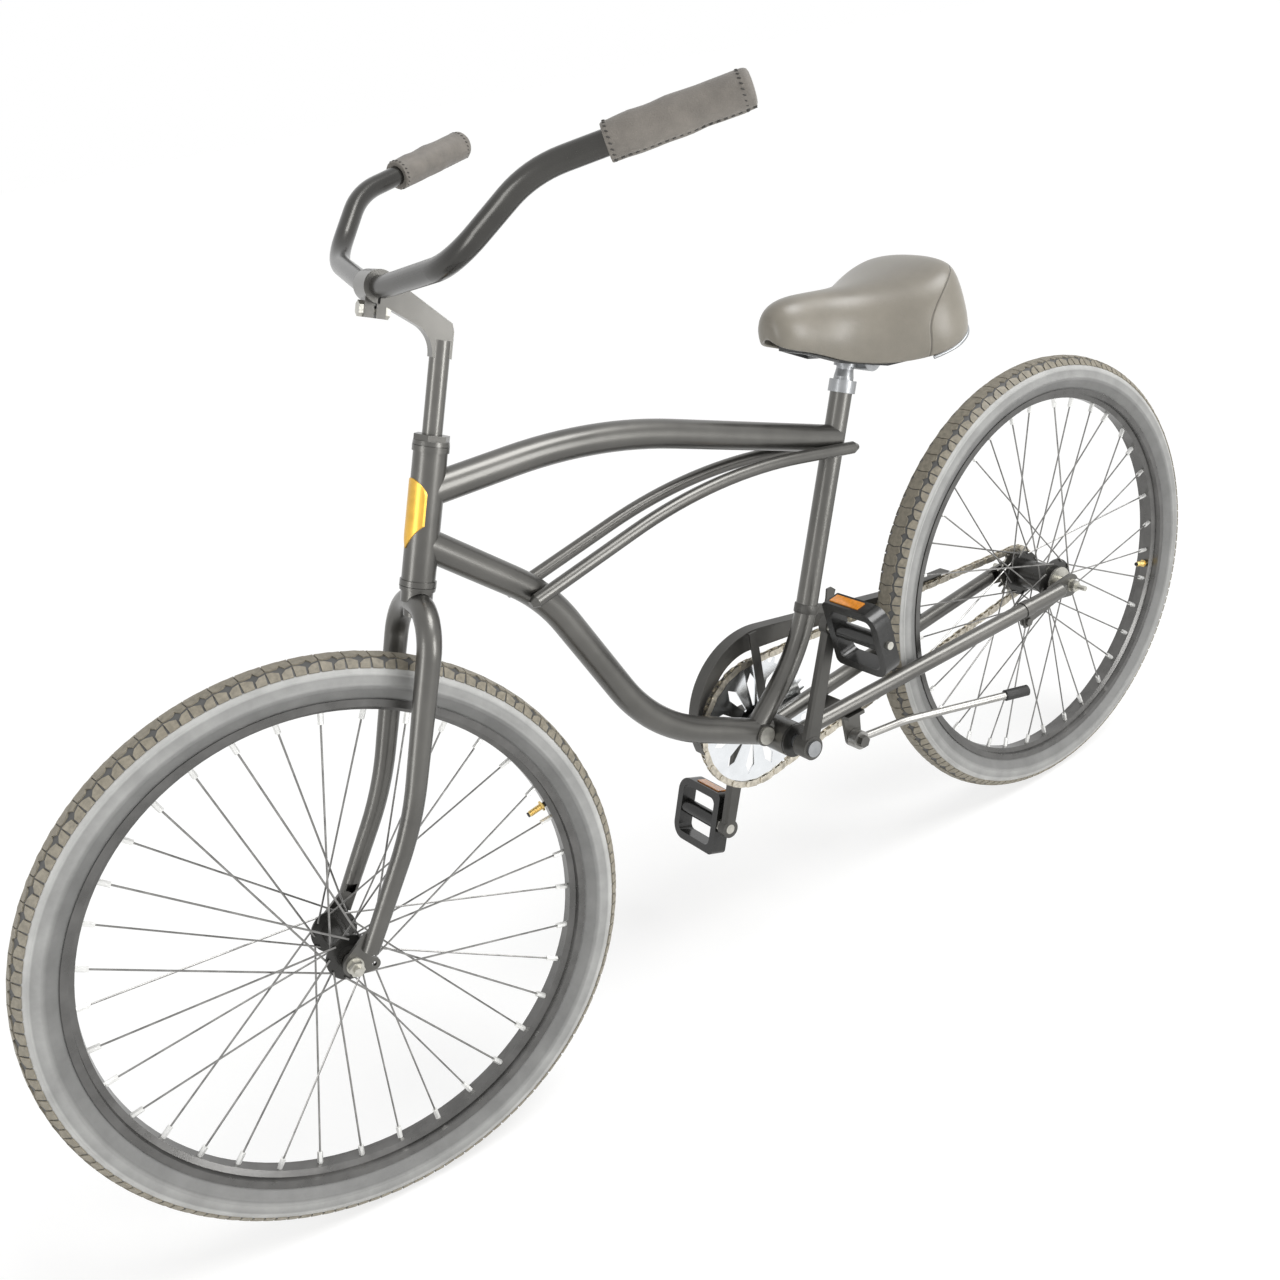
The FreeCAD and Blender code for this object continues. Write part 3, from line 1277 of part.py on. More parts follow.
def rear_sprocket():
    depth = Y_AXIS * mm.ring_thickness
    disc = polygon_prism(toothed_outline(axle_rear, mm.sprocket_teeth, sprocket_phase), depth)
    hole = cylinder(mm.sprocket_bore / 2, axle_rear - Y_AXIS * mm.chain_side * 2, axle_rear)
    solid_feature("rear_sprocket", disc.cut(hole))
    driver_outer = mm.chain_side + mm.ring_thickness / 2
    shelf = mm.rear_hub_end + mm.running_gap
    bore = cylinder(mm.driver_bore / 2, Y_AXIS * -driver_outer, V())
    seat = cylinder(mm.sprocket_bore / 2, Y_AXIS * -driver_outer, Y_AXIS * -shelf)
    cone_radius = mm.front_axle_diameter + mm.running_gap * 2
    cone_room = cylinder(cone_radius, Y_AXIS * -driver_outer, Y_AXIS * -shelf)
    screw = cylinder(mm.driver_radius, Y_AXIS * -shelf, Y_AXIS * -(shelf - mm.driver_length))
    clutch_end = shelf - mm.driver_length
    clutch = cylinder(mm.clutch_radius, Y_AXIS * -(clutch_end + mm.clutch_length), Y_AXIS * -clutch_end)
    clutch = clutch.cut(cylinder(mm.driver_radius, Y_AXIS * -shelf, Y_AXIS * shelf))
    driver = seat.cut(cone_room).fuse(screw).cut(bore)
    row = (mm.rear_barrel_radius - mm.rear_hub_wall - mm.driver_radius) / 2
    balls = torus(mm.driver_radius + row, row - mm.running_gap,
                  Place(Y_AXIS * -(mm.rear_hub_end - row), Turn(X_AXIS, 90)))
    solid_feature("coaster_driver", Part.makeCompound([driver, clutch, balls]), rear_wheel_place)


def chain():
    """Inner links of two plates on rollers, with outer plates over their neighbouring ends."""
    inner = mm.chain_inner_width / 2
    outer_start = inner + mm.chain_plate + mm.chain_plate_gap
    half_height = mm.chain_plate_height / 2
    corner_share = math.tan(math.pi / 8)

    def plate(length, start, thickness):
        """An elongated octagon round two joints that lie the given length apart along X."""
        nose = half_height * corner_share
        first = [V(-nose, start, half_height), V(-half_height, start, nose), V(-half_height, start, -nose),
                 V(-nose, start, -half_height)]
        last = [V(length - point.x, start, point.z) for point in reversed(first)]
        outline = first + last
        return polygon_prism(outline, Y_AXIS * thickness)

    links = []
    for index, joint in enumerate(joints):
        run = joints[(index + 1) % len(joints)] - joint
        spot = Place(joint - Y_AXIS * mm.chain_side, Turn(Y_AXIS, -math.degrees(math.atan2(run.z, run.x))))
        if index % 2:
            pieces = [plate(run.Length, outer_start, mm.chain_plate),
                      plate(run.Length, -outer_start - mm.chain_plate, mm.chain_plate)]
        else:
            flats = mm.roller_radius * math.sqrt(3)
            rollers = [hexagon_prism(flats, X_AXIS * at - Y_AXIS * inner, Y_AXIS * inner * 2)
                       for at in (0.0, run.Length)]
            first = plate(run.Length, inner, mm.chain_plate)
            pieces = [first.fuse([plate(run.Length, -inner - mm.chain_plate, mm.chain_plate)] + rollers)]
        links += [piece.transformGeometry(spot.toMatrix()) for piece in pieces]
    solid_feature("chain", Part.makeCompound(links))


# Bottom bracket, cranks and pedals

def bracket_cups():
    bore = cell.bracket_cup_bore / 2
    seat = cell.bracket_shell_bore / 2
    face = cell.bracket_shell_width / 2
    flange = cell.cup_flange_diameter / 2
    race = cell.bracket_race_radius
    outer = face + cell.cup_flange_width
    floor = face - cell.cup_depth
    groove = floor + cell.cup_flange_width
    profile = [(bore, floor), (seat, floor), (seat, face), (flange, face), (flange, outer), (bore, outer),
               (bore, groove + cell.bracket_race_width), (race, groove + cell.bracket_race_width),
               (race, groove), (bore, groove)]
    level = groove + cell.bracket_race_width / 2
    pieces = []
    for side in SIDES:
        spot = bracket_place * Place(V(), Turn(Z_AXIS, 0 if side > 0 else 180))
        pieces.append(turned(f"bracket_cup_{side + 1}", profile, spot))
        pieces.append(ball_ring(f"bracket_balls_{side + 1}", race - cell.slide_gap, level,
                                cell.bracket_ball, spot))
    keep(group("bracket_cup_set", *pieces), "bottom_bracket_cups")


crank_place = Place(bracket, Turn(Y_AXIS, 90 - mm.crank_angle))
left_cap_face = mm.left_crank_face + mm.crank_thickness + mm.crank_boss_proud
right_cap_face = mm.right_crank_face + mm.crank_thickness + mm.crank_boss_proud


def crank_spindle():
    """The square-ended spindle and the bolt caps that hold both arms on it."""
    half_square = mm.spindle_square / 2
    barrel = cylinder(mm.spindle_diameter / 2, Y_AXIS * -mm.spindle_shoulder, Y_AXIS * mm.spindle_shoulder)
    square = Part.makeBox(mm.spindle_square, left_cap_face + right_cap_face, mm.spindle_square,
                          V(-half_square, -right_cap_face, -half_square))
    left_cap = cylinder(mm.crank_cap_diameter / 2, Y_AXIS * left_cap_face,
                        Y_AXIS * (left_cap_face + mm.crank_cap_thickness))
    right_cap = cylinder(mm.crank_cap_diameter / 2, Y_AXIS * -right_cap_face,
                         Y_AXIS * -(right_cap_face + mm.crank_cap_thickness))
    pieces = [barrel.fuse(square), left_cap, right_cap]
    solid_feature("crank_spindle", Part.makeCompound(pieces), crank_place)


def crank_bar(face, way):
    """A bevelled flat bar from the boss to the pedal eye; way is 1 to the left and -1 to the right."""
    outlines = []
    spots = ((0.0, face, mm.crank_boss_width), (mm.crank_length, face + mm.crank_flare, mm.crank_eye_width))
    for reach, inner, width in spots:
        half = width / 2
        outer = inner + mm.crank_thickness
        bevel = mm.crank_bevel
        flat = half - bevel
        corners = [(flat, inner), (half, inner + bevel), (half, outer - bevel), (flat, outer)]
        corners += [(-x, y) for x, y in reversed(corners)]
        points = [V(x, y * way, reach * way) for x, y in corners]
        outlines.append(Part.makePolygon(points + [points[0]]))
    return Part.makeLoft(outlines, True, True)


def crank_arm(label, way, boss_start, face):
    """One arm: a boss on the spindle's square, a bevelled bar and the pedal eye at its end."""
    outer = face + mm.crank_thickness + mm.crank_boss_proud
    boss = cylinder(mm.crank_boss_radius, Y_AXIS * (way * boss_start), Y_AXIS * (way * outer))
    eye_inner = face + mm.crank_flare
    end = Z_AXIS * (mm.crank_length * way)
    eye = cylinder(mm.crank_eye_radius, end + Y_AXIS * (way * eye_inner),
                   end + Y_AXIS * (way * (eye_inner + mm.crank_thickness)))
    thread = cylinder(mm.pedal_thread / 2, end, end + Y_AXIS * (way * mm.pedal_spindle_length))
    half = mm.spindle_square / 2
    square = Part.makeBox(mm.spindle_square, outer * 4, mm.spindle_square, V(-half, -outer * 2, -half))
    barrel = cylinder(mm.spindle_diameter / 2, V(), Y_AXIS * (way * mm.spindle_shoulder))
    pieces = [crank_bar(face, way), eye]
    if way < 0:
        ring_outer = mm.chain_side + mm.ring_thickness / 2
        boss = cylinder(mm.crank_boss_radius, Y_AXIS * -ring_outer, Y_AXIS * -outer)
        pieces.append(cylinder(mm.ring_bore / 2, Y_AXIS * -boss_start, Y_AXIS * -ring_outer))
    solid_feature(label, boss.fuse(pieces).cut([square, thread, barrel]).removeSplitter(), crank_place)


def crank_arms():
    crank_arm("crank_arm_left", 1, mm.left_crank_inner, mm.left_crank_face)
    crank_arm("crank_arm_right", -1, mm.chain_side - mm.ring_thickness / 2, mm.right_crank_face)


def pedal_axis(way):
    """The pedal eye's inner face and the place of the pedal's own axis."""
    face = mm.left_crank_face if way > 0 else mm.right_crank_face
    eye = V(0, way * (face + mm.crank_flare), mm.crank_length * way)
    return crank_place.multVec(eye)


def pedal_spindles():
    pieces = []
    for way in SIDES:
        start = pedal_axis(way)
        out = Y_AXIS * way
        collar_start = start + out * mm.crank_thickness
        collar_end = collar_start + out * mm.pedal_spindle_collar
        thread = cylinder(mm.pedal_thread / 2, start, collar_start)
        flats = mm.axle_nut_flats + mm.pedal_spindle_collar
        collar = hexagon_prism(flats, collar_start, collar_end - collar_start)
        neck = cylinder(mm.pedal_spindle_neck / 2, collar_end, collar_end + out * mm.pedal_spindle_length)
        pieces.append(thread.fuse([collar, neck]))
    solid_feature("pedal_spindles", Part.makeCompound(pieces))


def pedal(label, way, pitch):
    """A moulded cage with two windows either side of a barrel, and a reflector on each long edge."""
    standoff = mm.crank_thickness + mm.pedal_spindle_collar + mm.running_gap
    start = pedal_axis(way) + Y_AXIS * (way * standoff)
    place = Place(start, Turn(Y_AXIS, pitch))
    half_length = mm.pedal_length / 2
    half_height = mm.pedal_height / 2
    corner = mm.pedal_corner
    rail = mm.pedal_rail
    width = mm.pedal_width

    def cage(inset, low, rounding):
        near = way * inset
        far = way * (width - inset)
        reach = half_length - inset
        corners = [V(-reach, near, low), V(-reach, far, low), V(reach, far, low), V(reach, near, low)]
        return Part.Face(rounded_outline(corners, rounding))

    outer = cage(0.0, -half_height, [mm.pedal_inner_corner, corner, corner, mm.pedal_inner_corner])
    body = outer.extrude(Z_AXIS * mm.pedal_height)
    opening = cage(rail, -half_height - mm.overrun, [mm.pedal_window_corner] * 4)
    window = opening.extrude(Z_AXIS * (mm.pedal_height + mm.overrun * 2))
    barrel = cylinder(mm.pedal_barrel_diameter / 2, V(), Y_AXIS * (way * width))
    spindle_room = cylinder(mm.pedal_spindle_neck / 2 + mm.slide_gap, V(),
                            Y_AXIS * (way * (mm.pedal_spindle_length + mm.running_gap)))
    body = body.cut(window).fuse(barrel)
    inset = mm.reflector_thickness / 2
    lenses = []
    for side in SIDES:
        lens = Part.makeBox(mm.reflector_thickness, mm.reflector_width, mm.reflector_height)
        middle = way * (width - corner) / 2
        lens.translate(V(side * (half_length - inset) - mm.reflector_thickness / 2 + side * inset,
                         middle - mm.reflector_width / 2, -mm.reflector_height / 2))
        lenses.append(lens)
    solid_feature(label, body.cut([spindle_room] + lenses), place)
    solid_feature(f"{label}_reflectors", Part.makeCompound(lenses), place)


# Chain guard

def chain_guard():
    """A hockey-stick guard: a side sheet with a band over the chain, a front strip and a rear clip."""
    centre = bracket + V(-mm.guard_centre_back, 0, mm.guard_centre_rise)

    def on_arc(radius, angle):
        swing = math.radians(angle)
        return V(centre.x + radius * math.cos(swing), 0, centre.z + radius * math.sin(swing))

    def sheet_edge(radius, tail_drop):
        front = mm.guard_front_angle
        crest = mm.guard_crest_angle
        kink = frame_point(mm.guard_kink_ahead, mm.guard_kink_height - tail_drop)
        tail = frame_point(mm.guard_tail_ahead, mm.guard_tail_height - tail_drop)
        return on_arc(radius, front), on_arc(radius, (front + crest) / 2), on_arc(radius, crest), kink, tail

    def band_face(outer, inner):
        run = [outer[2], outer[3], outer[4], inner[4], inner[3], inner[2]]
        edges = [Part.Arc(outer[0], outer[1], outer[2]).toShape()]
        edges += [Part.LineSegment(start, end).toShape() for start, end in zip(run, run[1:])]
        edges.append(Part.Arc(inner[2], inner[1], inner[0]).toShape())
        edges.append(Part.LineSegment(inner[0], outer[0]).toShape())
        return Part.Face(Part.Wire(edges))

    top = sheet_edge(mm.guard_radius, 0.0)
    under = sheet_edge(mm.guard_radius - mm.guard_sheet, mm.guard_sheet)
    low = sheet_edge(mm.guard_inner_radius, mm.guard_tail_depth)
    outside = Y_AXIS * -(mm.guard_side + mm.guard_sheet)
    sheet_plate = band_face(top, low).extrude(Y_AXIS * mm.guard_sheet)
    band = band_face(top, under).extrude(Y_AXIS * mm.guard_band)
    guard = sheet_plate.fuse(band)
    guard.translate(outside)
    strip_top = centre.z + mm.guard_radius - mm.guard_sheet
    strip_back = centre.x - mm.guard_strip_width / 2
    strip = Part.makeBox(mm.guard_strip_width, mm.guard_strip_sheet, strip_top - bracket.z,
                         V(strip_back, -mm.guard_strip_side, bracket.z))
    shelf = Part.makeBox(mm.guard_strip_width, mm.guard_side - mm.guard_strip_side, mm.guard_strip_sheet,
                         V(strip_back, -mm.guard_side, strip_top - mm.guard_strip_sheet))
    above = swept_guard_room(band_face(top, under), outside)
    bracket_strip = strip.fuse(shelf).cut([guard, shell_solid, above])
    clip_ahead = mm.guard_clip_ahead
    front, rear = stay_ends(-1)
    share = (clip_ahead - mm.stay_rear_ahead) / (mm.bracket_ahead - mm.stay_rear_ahead)
    clip_spot = rear + (front - rear) * share
    tail_side = mm.guard_side + mm.guard_sheet
    clip_rise = mm.guard_kink_height - mm.guard_tail_depth / 2 - clip_spot.z
    clip_corner = V(clip_spot.x - mm.guard_strip_width / 2, -tail_side - mm.guard_strip_sheet, clip_spot.z)
    clip = Part.makeBox(mm.guard_strip_width, mm.guard_strip_sheet, clip_rise, clip_corner)
    clip = clip.cut(cylinder(mm.stay_diameter / 2, front, rear))
    strips = [max(piece.Solids, key=lambda solid: solid.Volume) for piece in (bracket_strip, clip)]
    solid_feature("chain_guard", Part.makeCompound([guard] + strips))


def swept_guard_room(face, start):
    """The guard's band carried across the whole width, so that brackets end under it."""
    room = face.extrude(Y_AXIS * (mm.guard_side * 2))
    room.translate(start)
    return room


# Kick stand

stand_pivot = frame_point(mm.stand_pivot_ahead, mm.stand_pivot_height, mm.stand_pivot_side)


def stand_bracket():
    """A plate under both chainstays with a cheek that carries the stand's pivot bolt."""
    half = mm.stand_plate_width / 2
    front, rear = stay_ends(1)
    share = (mm.stand_pivot_ahead - mm.stay_rear_ahead) / (mm.bracket_ahead - mm.stay_rear_ahead)
    level = rear + (front - rear) * share
    plate_top = level.z - mm.stay_diameter / 2
    reach = level.y + mm.stay_diameter / 2
    plate = Part.makeBox(mm.stand_plate_width, reach * 2, mm.stand_bracket_thickness,
                         V(stand_pivot.x - half, -reach, plate_top - mm.stand_bracket_thickness))
    inner = mm.stand_pivot_side - mm.stand_hub_length / 2 - mm.stand_bracket_thickness - mm.running_gap
    foot = V(stand_pivot.x, inner, stand_pivot.z)
    head = V(stand_pivot.x, inner, plate_top - mm.stand_bracket_thickness)
    cheek = rounded_hull(foot, mm.stand_cheek_radius, head, half, Y_AXIS * mm.stand_bracket_thickness)
    above = Part.makeBox(mm.stand_plate_width * 2, reach * 2, mm.stand_plate_width * 2,
                         V(stand_pivot.x - mm.stand_plate_width, -reach, plate_top))
    stays = [cylinder(mm.stay_diameter / 2, *stay_ends(side)) for side in SIDES]
    bolt_end = stand_pivot + Y_AXIS * (mm.stand_hub_length / 2 + mm.running_gap)
    bolt = cylinder(mm.stem_bolt_diameter / 2, foot, bolt_end)
    head_piece = hexagon_prism(mm.stand_bolt_head, bolt_end, Y_AXIS * mm.stand_bolt_head_length)
    plate = plate.fuse(cheek).cut([above, bolt] + stays)
    solid_feature("kickstand_bracket", Part.makeCompound([plate, bolt.fuse(head_piece)]))


def kickstand():
    """A bent rod from the pivot eye back to a rubber foot, folded up along the chainstay."""
    knee = frame_point(mm.stand_knee_ahead, mm.stand_knee_height, mm.stand_knee_side)
    tip = frame_point(mm.stand_tip_ahead, mm.stand_tip_height, mm.stand_tip_side)
    path = bent_path([stand_pivot, knee, tip], [mm.stand_knee_radius])
    half = Y_AXIS * (mm.stand_hub_length / 2)
    hub = cylinder(mm.stand_cheek_radius, stand_pivot - half, stand_pivot + half)
    pin_radius = mm.stem_bolt_diameter / 2 + mm.slide_gap
    pin_room = cylinder(pin_radius, stand_pivot - half * 2, stand_pivot + half * 2)
    heading = (tip - knee).normalize()
    foot = cylinder(mm.stand_foot_diameter / 2, tip - heading * mm.stand_foot_length,
                    tip + heading * mm.grip_cap)
    leg = swept(path, mm.stand_rod_diameter / 2)
    solid_feature("kickstand_leg", leg.fuse(hub).cut(pin_room))
    solid_feature("kickstand_foot", foot.cut(leg))


# Seat post and saddle

saddle_clamp_top = mm.seat_post_step + mm.seat_post_taper + mm.seat_post_rise


def seat_post():
    """A hollow post that slides in the seat tube, swaged to a slimmer neck under the saddle."""
    outer = cell.seat_post_diameter / 2
    neck = cell.seat_post_neck / 2
    wall = cell.seat_post_wall
    foot = -cell.seat_post_depth
    step = cell.seat_post_step
    shoulder = step + cell.seat_post_taper
    top = shoulder + cell.seat_post_rise
    profile = [(outer - wall, foot), (outer, foot), (outer, step), (neck, shoulder), (neck, top),
               (neck - wall, top), (neck - wall, shoulder), (outer - wall, step)]
    keep(turned("seat_post_tube", profile, seat_place, "XZ_Plane"), "seat_post")


saddle_nose = seat_top.x + mm.saddle_nose_lead
saddle_bottom = seat_top.z + mm.saddle_rise - mm.saddle_depth
saddle_roof = seat_top.z + mm.saddle_rise - mm.saddle_padding
clamp_bolt_spot = seat_point(saddle_clamp_top - mm.saddle_clamp_height / 2, -mm.saddle_bolt_back)
rail_level = clamp_bolt_spot.z + (mm.saddle_bolt_diameter + mm.saddle_rail_diameter) / 2 + mm.running_gap

# Shares down the saddle from the nose: length, half width, crown height, edge height and underside height.
SADDLE_SHARES = (
    (0.0, 0.16, 0.70, 0.62, 0.53),
    (0.03, 0.24, 0.83, 0.71, 0.46),
    (0.13, 0.29, 0.91, 0.76, 0.36),
    (0.32, 0.38, 0.91, 0.68, 0.14),
    (0.52, 0.66, 0.93, 0.62, 0.0),
    (0.75, 0.98, 1.0, 0.66, 0.02),
    (0.92, 0.93, 0.95, 0.66, 0.05),
    (1.0, 0.70, 0.72, 0.58, 0.12),
)
SKIRT_SHARE = 0.9
WAIST_SHARE = 0.98
ROOF_WIDTH_SHARE = 0.72


def saddle_outline(shares):
    """One section across the saddle: flat underside, drawn-in sides and a crowned top."""
    length, wide, crown, edge, under = shares
    x = saddle_nose - mm.saddle_length * length
    half = mm.saddle_width / 2 * wide
    top = saddle_bottom + mm.saddle_depth * crown
    rim_level = saddle_bottom + mm.saddle_depth * edge
    floor = saddle_bottom + mm.saddle_depth * under
    middle = (rim_level + floor) / 2
    tuck = half * SKIRT_SHARE
    waist = half * WAIST_SHARE
    edges = [
        Part.LineSegment(V(x, tuck, floor), V(x, -tuck, floor)).toShape(),
        Part.Arc(V(x, -tuck, floor), V(x, -waist, middle), V(x, -half, rim_level)).toShape(),
        Part.Arc(V(x, -half, rim_level), V(x, 0, top), V(x, half, rim_level)).toShape(),
        Part.Arc(V(x, half, rim_level), V(x, waist, middle), V(x, tuck, floor)).toShape(),
    ]
    return Part.Wire(edges)


def saddle_room(inset, drop):
    """The hollow under the saddle, drawn in by the inset all round and open below by the drop."""
    outlines = []
    first = SADDLE_SHARES[2][0]
    last = SADDLE_SHARES[-2][0]
    for length, wide, crown, edge, under in SADDLE_SHARES[2:-1]:
        shift = inset * ((length == last) - (length == first))
        x = saddle_nose - mm.saddle_length * length + shift
        half = mm.saddle_width / 2 * wide * SKIRT_SHARE - mm.saddle_skirt - inset
        roof_half = half * ROOF_WIDTH_SHARE
        roof = saddle_roof - inset
        rim = saddle_bottom + mm.saddle_depth * under
        floor = rim - drop
        foot = half + (half - roof_half) * drop / (roof - rim)
        points = [V(x, foot, floor), V(x, roof_half, roof), V(x, -roof_half, roof), V(x, -foot, floor)]
        outlines.append(Part.makePolygon(points + [points[0]]))
    return Part.makeLoft(outlines, True, True)


def rail_path(side):
    """One rail's middle line: from the nose down to the clamp's level and up to the back of the pan."""
    nose_end = saddle_nose - mm.saddle_length * SADDLE_SHARES[2][0] - mm.saddle_rail_bend
    rear_end = saddle_nose - mm.saddle_length * SADDLE_SHARES[-2][0] + mm.saddle_rail_bend
    roof = saddle_roof - mm.saddle_pan_thickness - mm.saddle_pan_gap
    spread = side * mm.saddle_rail_spread
    run = mm.saddle_rail_run / 2
    corners = [V(nose_end, side * mm.saddle_rail_diameter, roof),
               V(clamp_bolt_spot.x + run, spread, rail_level),
               V(clamp_bolt_spot.x - run, spread, rail_level), V(rear_end, spread * 2, roof)]
    return bent_path(corners, [mm.saddle_rail_bend * 2, mm.saddle_rail_bend * 2])


def saddle():
    """The padded cover, the pan under it, and the wire rails."""
    cover = Part.makeLoft([saddle_outline(shares) for shares in SADDLE_SHARES], True, False)
    solid_feature("saddle_cover", cover.cut(saddle_room(0.0, mm.saddle_padding)))
    pan = saddle_room(mm.saddle_pan_gap, 0.0)
    rails = Part.makeCompound([swept(rail_path(side), mm.saddle_rail_diameter / 2) for side in SIDES])
    hollow = saddle_room(mm.saddle_pan_gap + mm.saddle_pan_thickness, mm.saddle_padding)
    solid_feature("saddle_base", pan.cut([hollow, rails]))
    solid_feature("saddle_rails", rails)


def saddle_clamp():
    """A ring on the post with a cross bolt behind it that squeezes the rails between round jaws."""
    ring_top = seat_point(saddle_clamp_top)
    ring_foot = seat_point(saddle_clamp_top - mm.saddle_clamp_height)
    half = Y_AXIS * (mm.saddle_clamp_width / 2)
    inner = Y_AXIS * (mm.saddle_rail_spread - mm.saddle_rail_diameter)
    jaw_radius = rail_level - clamp_bolt_spot.z + mm.saddle_rail_diameter
    ring_solid = cylinder(mm.seat_post_neck / 2 + mm.saddle_clamp_wall, ring_foot, ring_top)
    barrel = cylinder(jaw_radius, clamp_bolt_spot - inner, clamp_bolt_spot + inner)
    post = cylinder(mm.seat_post_neck / 2, seat_point(0.0), seat_point(saddle_clamp_top + jaw_radius))
    rails = [swept(rail_path(side), mm.saddle_rail_diameter / 2) for side in SIDES]
    bolt = cylinder(mm.saddle_bolt_diameter / 2, clamp_bolt_spot - half, clamp_bolt_spot + half)
    pieces = [ring_solid.fuse(barrel).cut([post, bolt])]
    ends = []
    for side in SIDES:
        jaw = cylinder(jaw_radius, clamp_bolt_spot + inner * side, clamp_bolt_spot + half * side)
        pieces.append(jaw.cut([bolt, post] + rails))
        ends.append(hexagon_prism(mm.saddle_bolt_head, clamp_bolt_spot + half * side,
                                  Y_AXIS * (side * mm.saddle_bolt_head_length)))
    solid_feature("saddle_clamp", Part.makeCompound(pieces + [bolt.fuse(ends)]))


PIECES = (
    head_tube, main_tubes, tank_bars, bracket_shell, seat_clamp, head_badge, headset, fork, front_axle,
    stem, handlebar, grips, front_hub, rear_hub, rear_axle, brake_arm, chainring, rear_sprocket, chain,
    bracket_cups, crank_spindle, crank_arms, pedal_spindles, chain_guard, stand_bracket, kickstand,
    seat_post, saddle, saddle_clamp,
)
for piece in PIECES:
    piece()
chainstay(1, "chainstay_left")
chainstay(-1, "chainstay_right")
axle_nuts("front_axle_nuts", front_wheel_place, mm.front_spacing / 2 + mm.fork_end_thickness)
axle_nuts("rear_axle_nuts", rear_wheel_place, mm.rear_spacing / 2 + mm.dropout_thickness)
pedal("pedal_left", 1, mm.pedal_left_pitch_angle)
pedal("pedal_right", -1, mm.pedal_right_pitch_angle)
wheels = (("front", front_wheel_place, mm.valve_angle), ("rear", rear_wheel_place, mm.rear_valve_angle))
for wheel, place, valve in wheels:
    tyre(f"{wheel}_tyre", place)
    inner_tube(f"{wheel}_inner_tube", place, valve)
    rim(f"{wheel}_rim", place, valve)
spokes("front", front_wheel_place, mm.front_flange_radius, mm.front_flange_side, mm.front_spoke_phase_angle)
spokes("rear", rear_wheel_place, mm.rear_flange_radius, mm.rear_flange_side, mm.rear_spoke_phase_angle)

doc.recompute()
for thing in doc.Objects:
    if "Invalid" in thing.State or "Error" in thing.State:
        raise RuntimeError(f"{thing.Label} failed: {thing.State}")
os.makedirs("parts", exist_ok=True)
for thing in sub_parts:
    if thing.Shape.isNull() or not thing.Shape.Solids or not thing.Shape.isValid():
        raise RuntimeError(f"{thing.Label} has no valid shape")
    thing.Shape.exportStep(f"parts/{thing.Label}.step")
print(len(sub_parts), "sub-parts written")
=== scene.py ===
"""Looks of a beach cruiser bicycle: tyres, saddle, grips, small fittings, finishes and the stage."""
import json
import math

import bmesh
import bpy
import numpy as np
from bpy.props import FloatProperty, FloatVectorProperty, IntProperty, PointerProperty
from mathutils import Matrix, Vector, noise


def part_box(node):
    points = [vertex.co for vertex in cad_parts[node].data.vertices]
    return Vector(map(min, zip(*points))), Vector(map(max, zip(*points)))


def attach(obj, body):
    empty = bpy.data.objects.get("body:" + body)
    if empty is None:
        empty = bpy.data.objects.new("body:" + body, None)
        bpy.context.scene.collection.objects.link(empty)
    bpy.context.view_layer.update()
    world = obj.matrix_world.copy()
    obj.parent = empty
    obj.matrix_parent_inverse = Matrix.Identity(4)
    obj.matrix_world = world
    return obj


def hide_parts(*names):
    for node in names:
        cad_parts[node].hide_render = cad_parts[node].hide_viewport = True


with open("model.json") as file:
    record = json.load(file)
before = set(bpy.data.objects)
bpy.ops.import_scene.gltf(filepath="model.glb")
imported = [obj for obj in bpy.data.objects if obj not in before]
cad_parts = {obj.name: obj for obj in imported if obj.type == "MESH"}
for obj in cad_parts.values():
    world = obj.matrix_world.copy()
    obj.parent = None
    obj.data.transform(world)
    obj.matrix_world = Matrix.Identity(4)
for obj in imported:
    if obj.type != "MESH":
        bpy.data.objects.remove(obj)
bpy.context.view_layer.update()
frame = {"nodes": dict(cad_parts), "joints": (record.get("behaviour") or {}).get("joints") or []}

bl_info = {
    "name": "Beach Cruiser Bicycle",
    "version": (1, 0, 0),
    "blender": (4, 5, 0),
    "location": "View3D > Sidebar > Cruiser",
    "description": "Dresses the bicycle with tyres, saddle, grips, small fittings and finishes",
    "category": "Object",
}

JOINTS = {joint["name"]: joint for joint in frame["joints"]}
WHEEL_UPS = {"front": JOINTS["steering"]["axis"], "rear": (0, 0, 1)}
MM = 0.001
WELD = 0.00001


def length(name, words, millimetres):
    """A length that a user may change, in metres."""
    return FloatProperty(name=name, description=words, default=millimetres * MM, unit="LENGTH", precision=5)


def colour(name, words, red, green, blue):
    """A colour that a user may change."""
    return FloatVectorProperty(name=name, description=words, default=(red, green, blue), size=3, min=0.0,
                               max=1.0, subtype="COLOR")


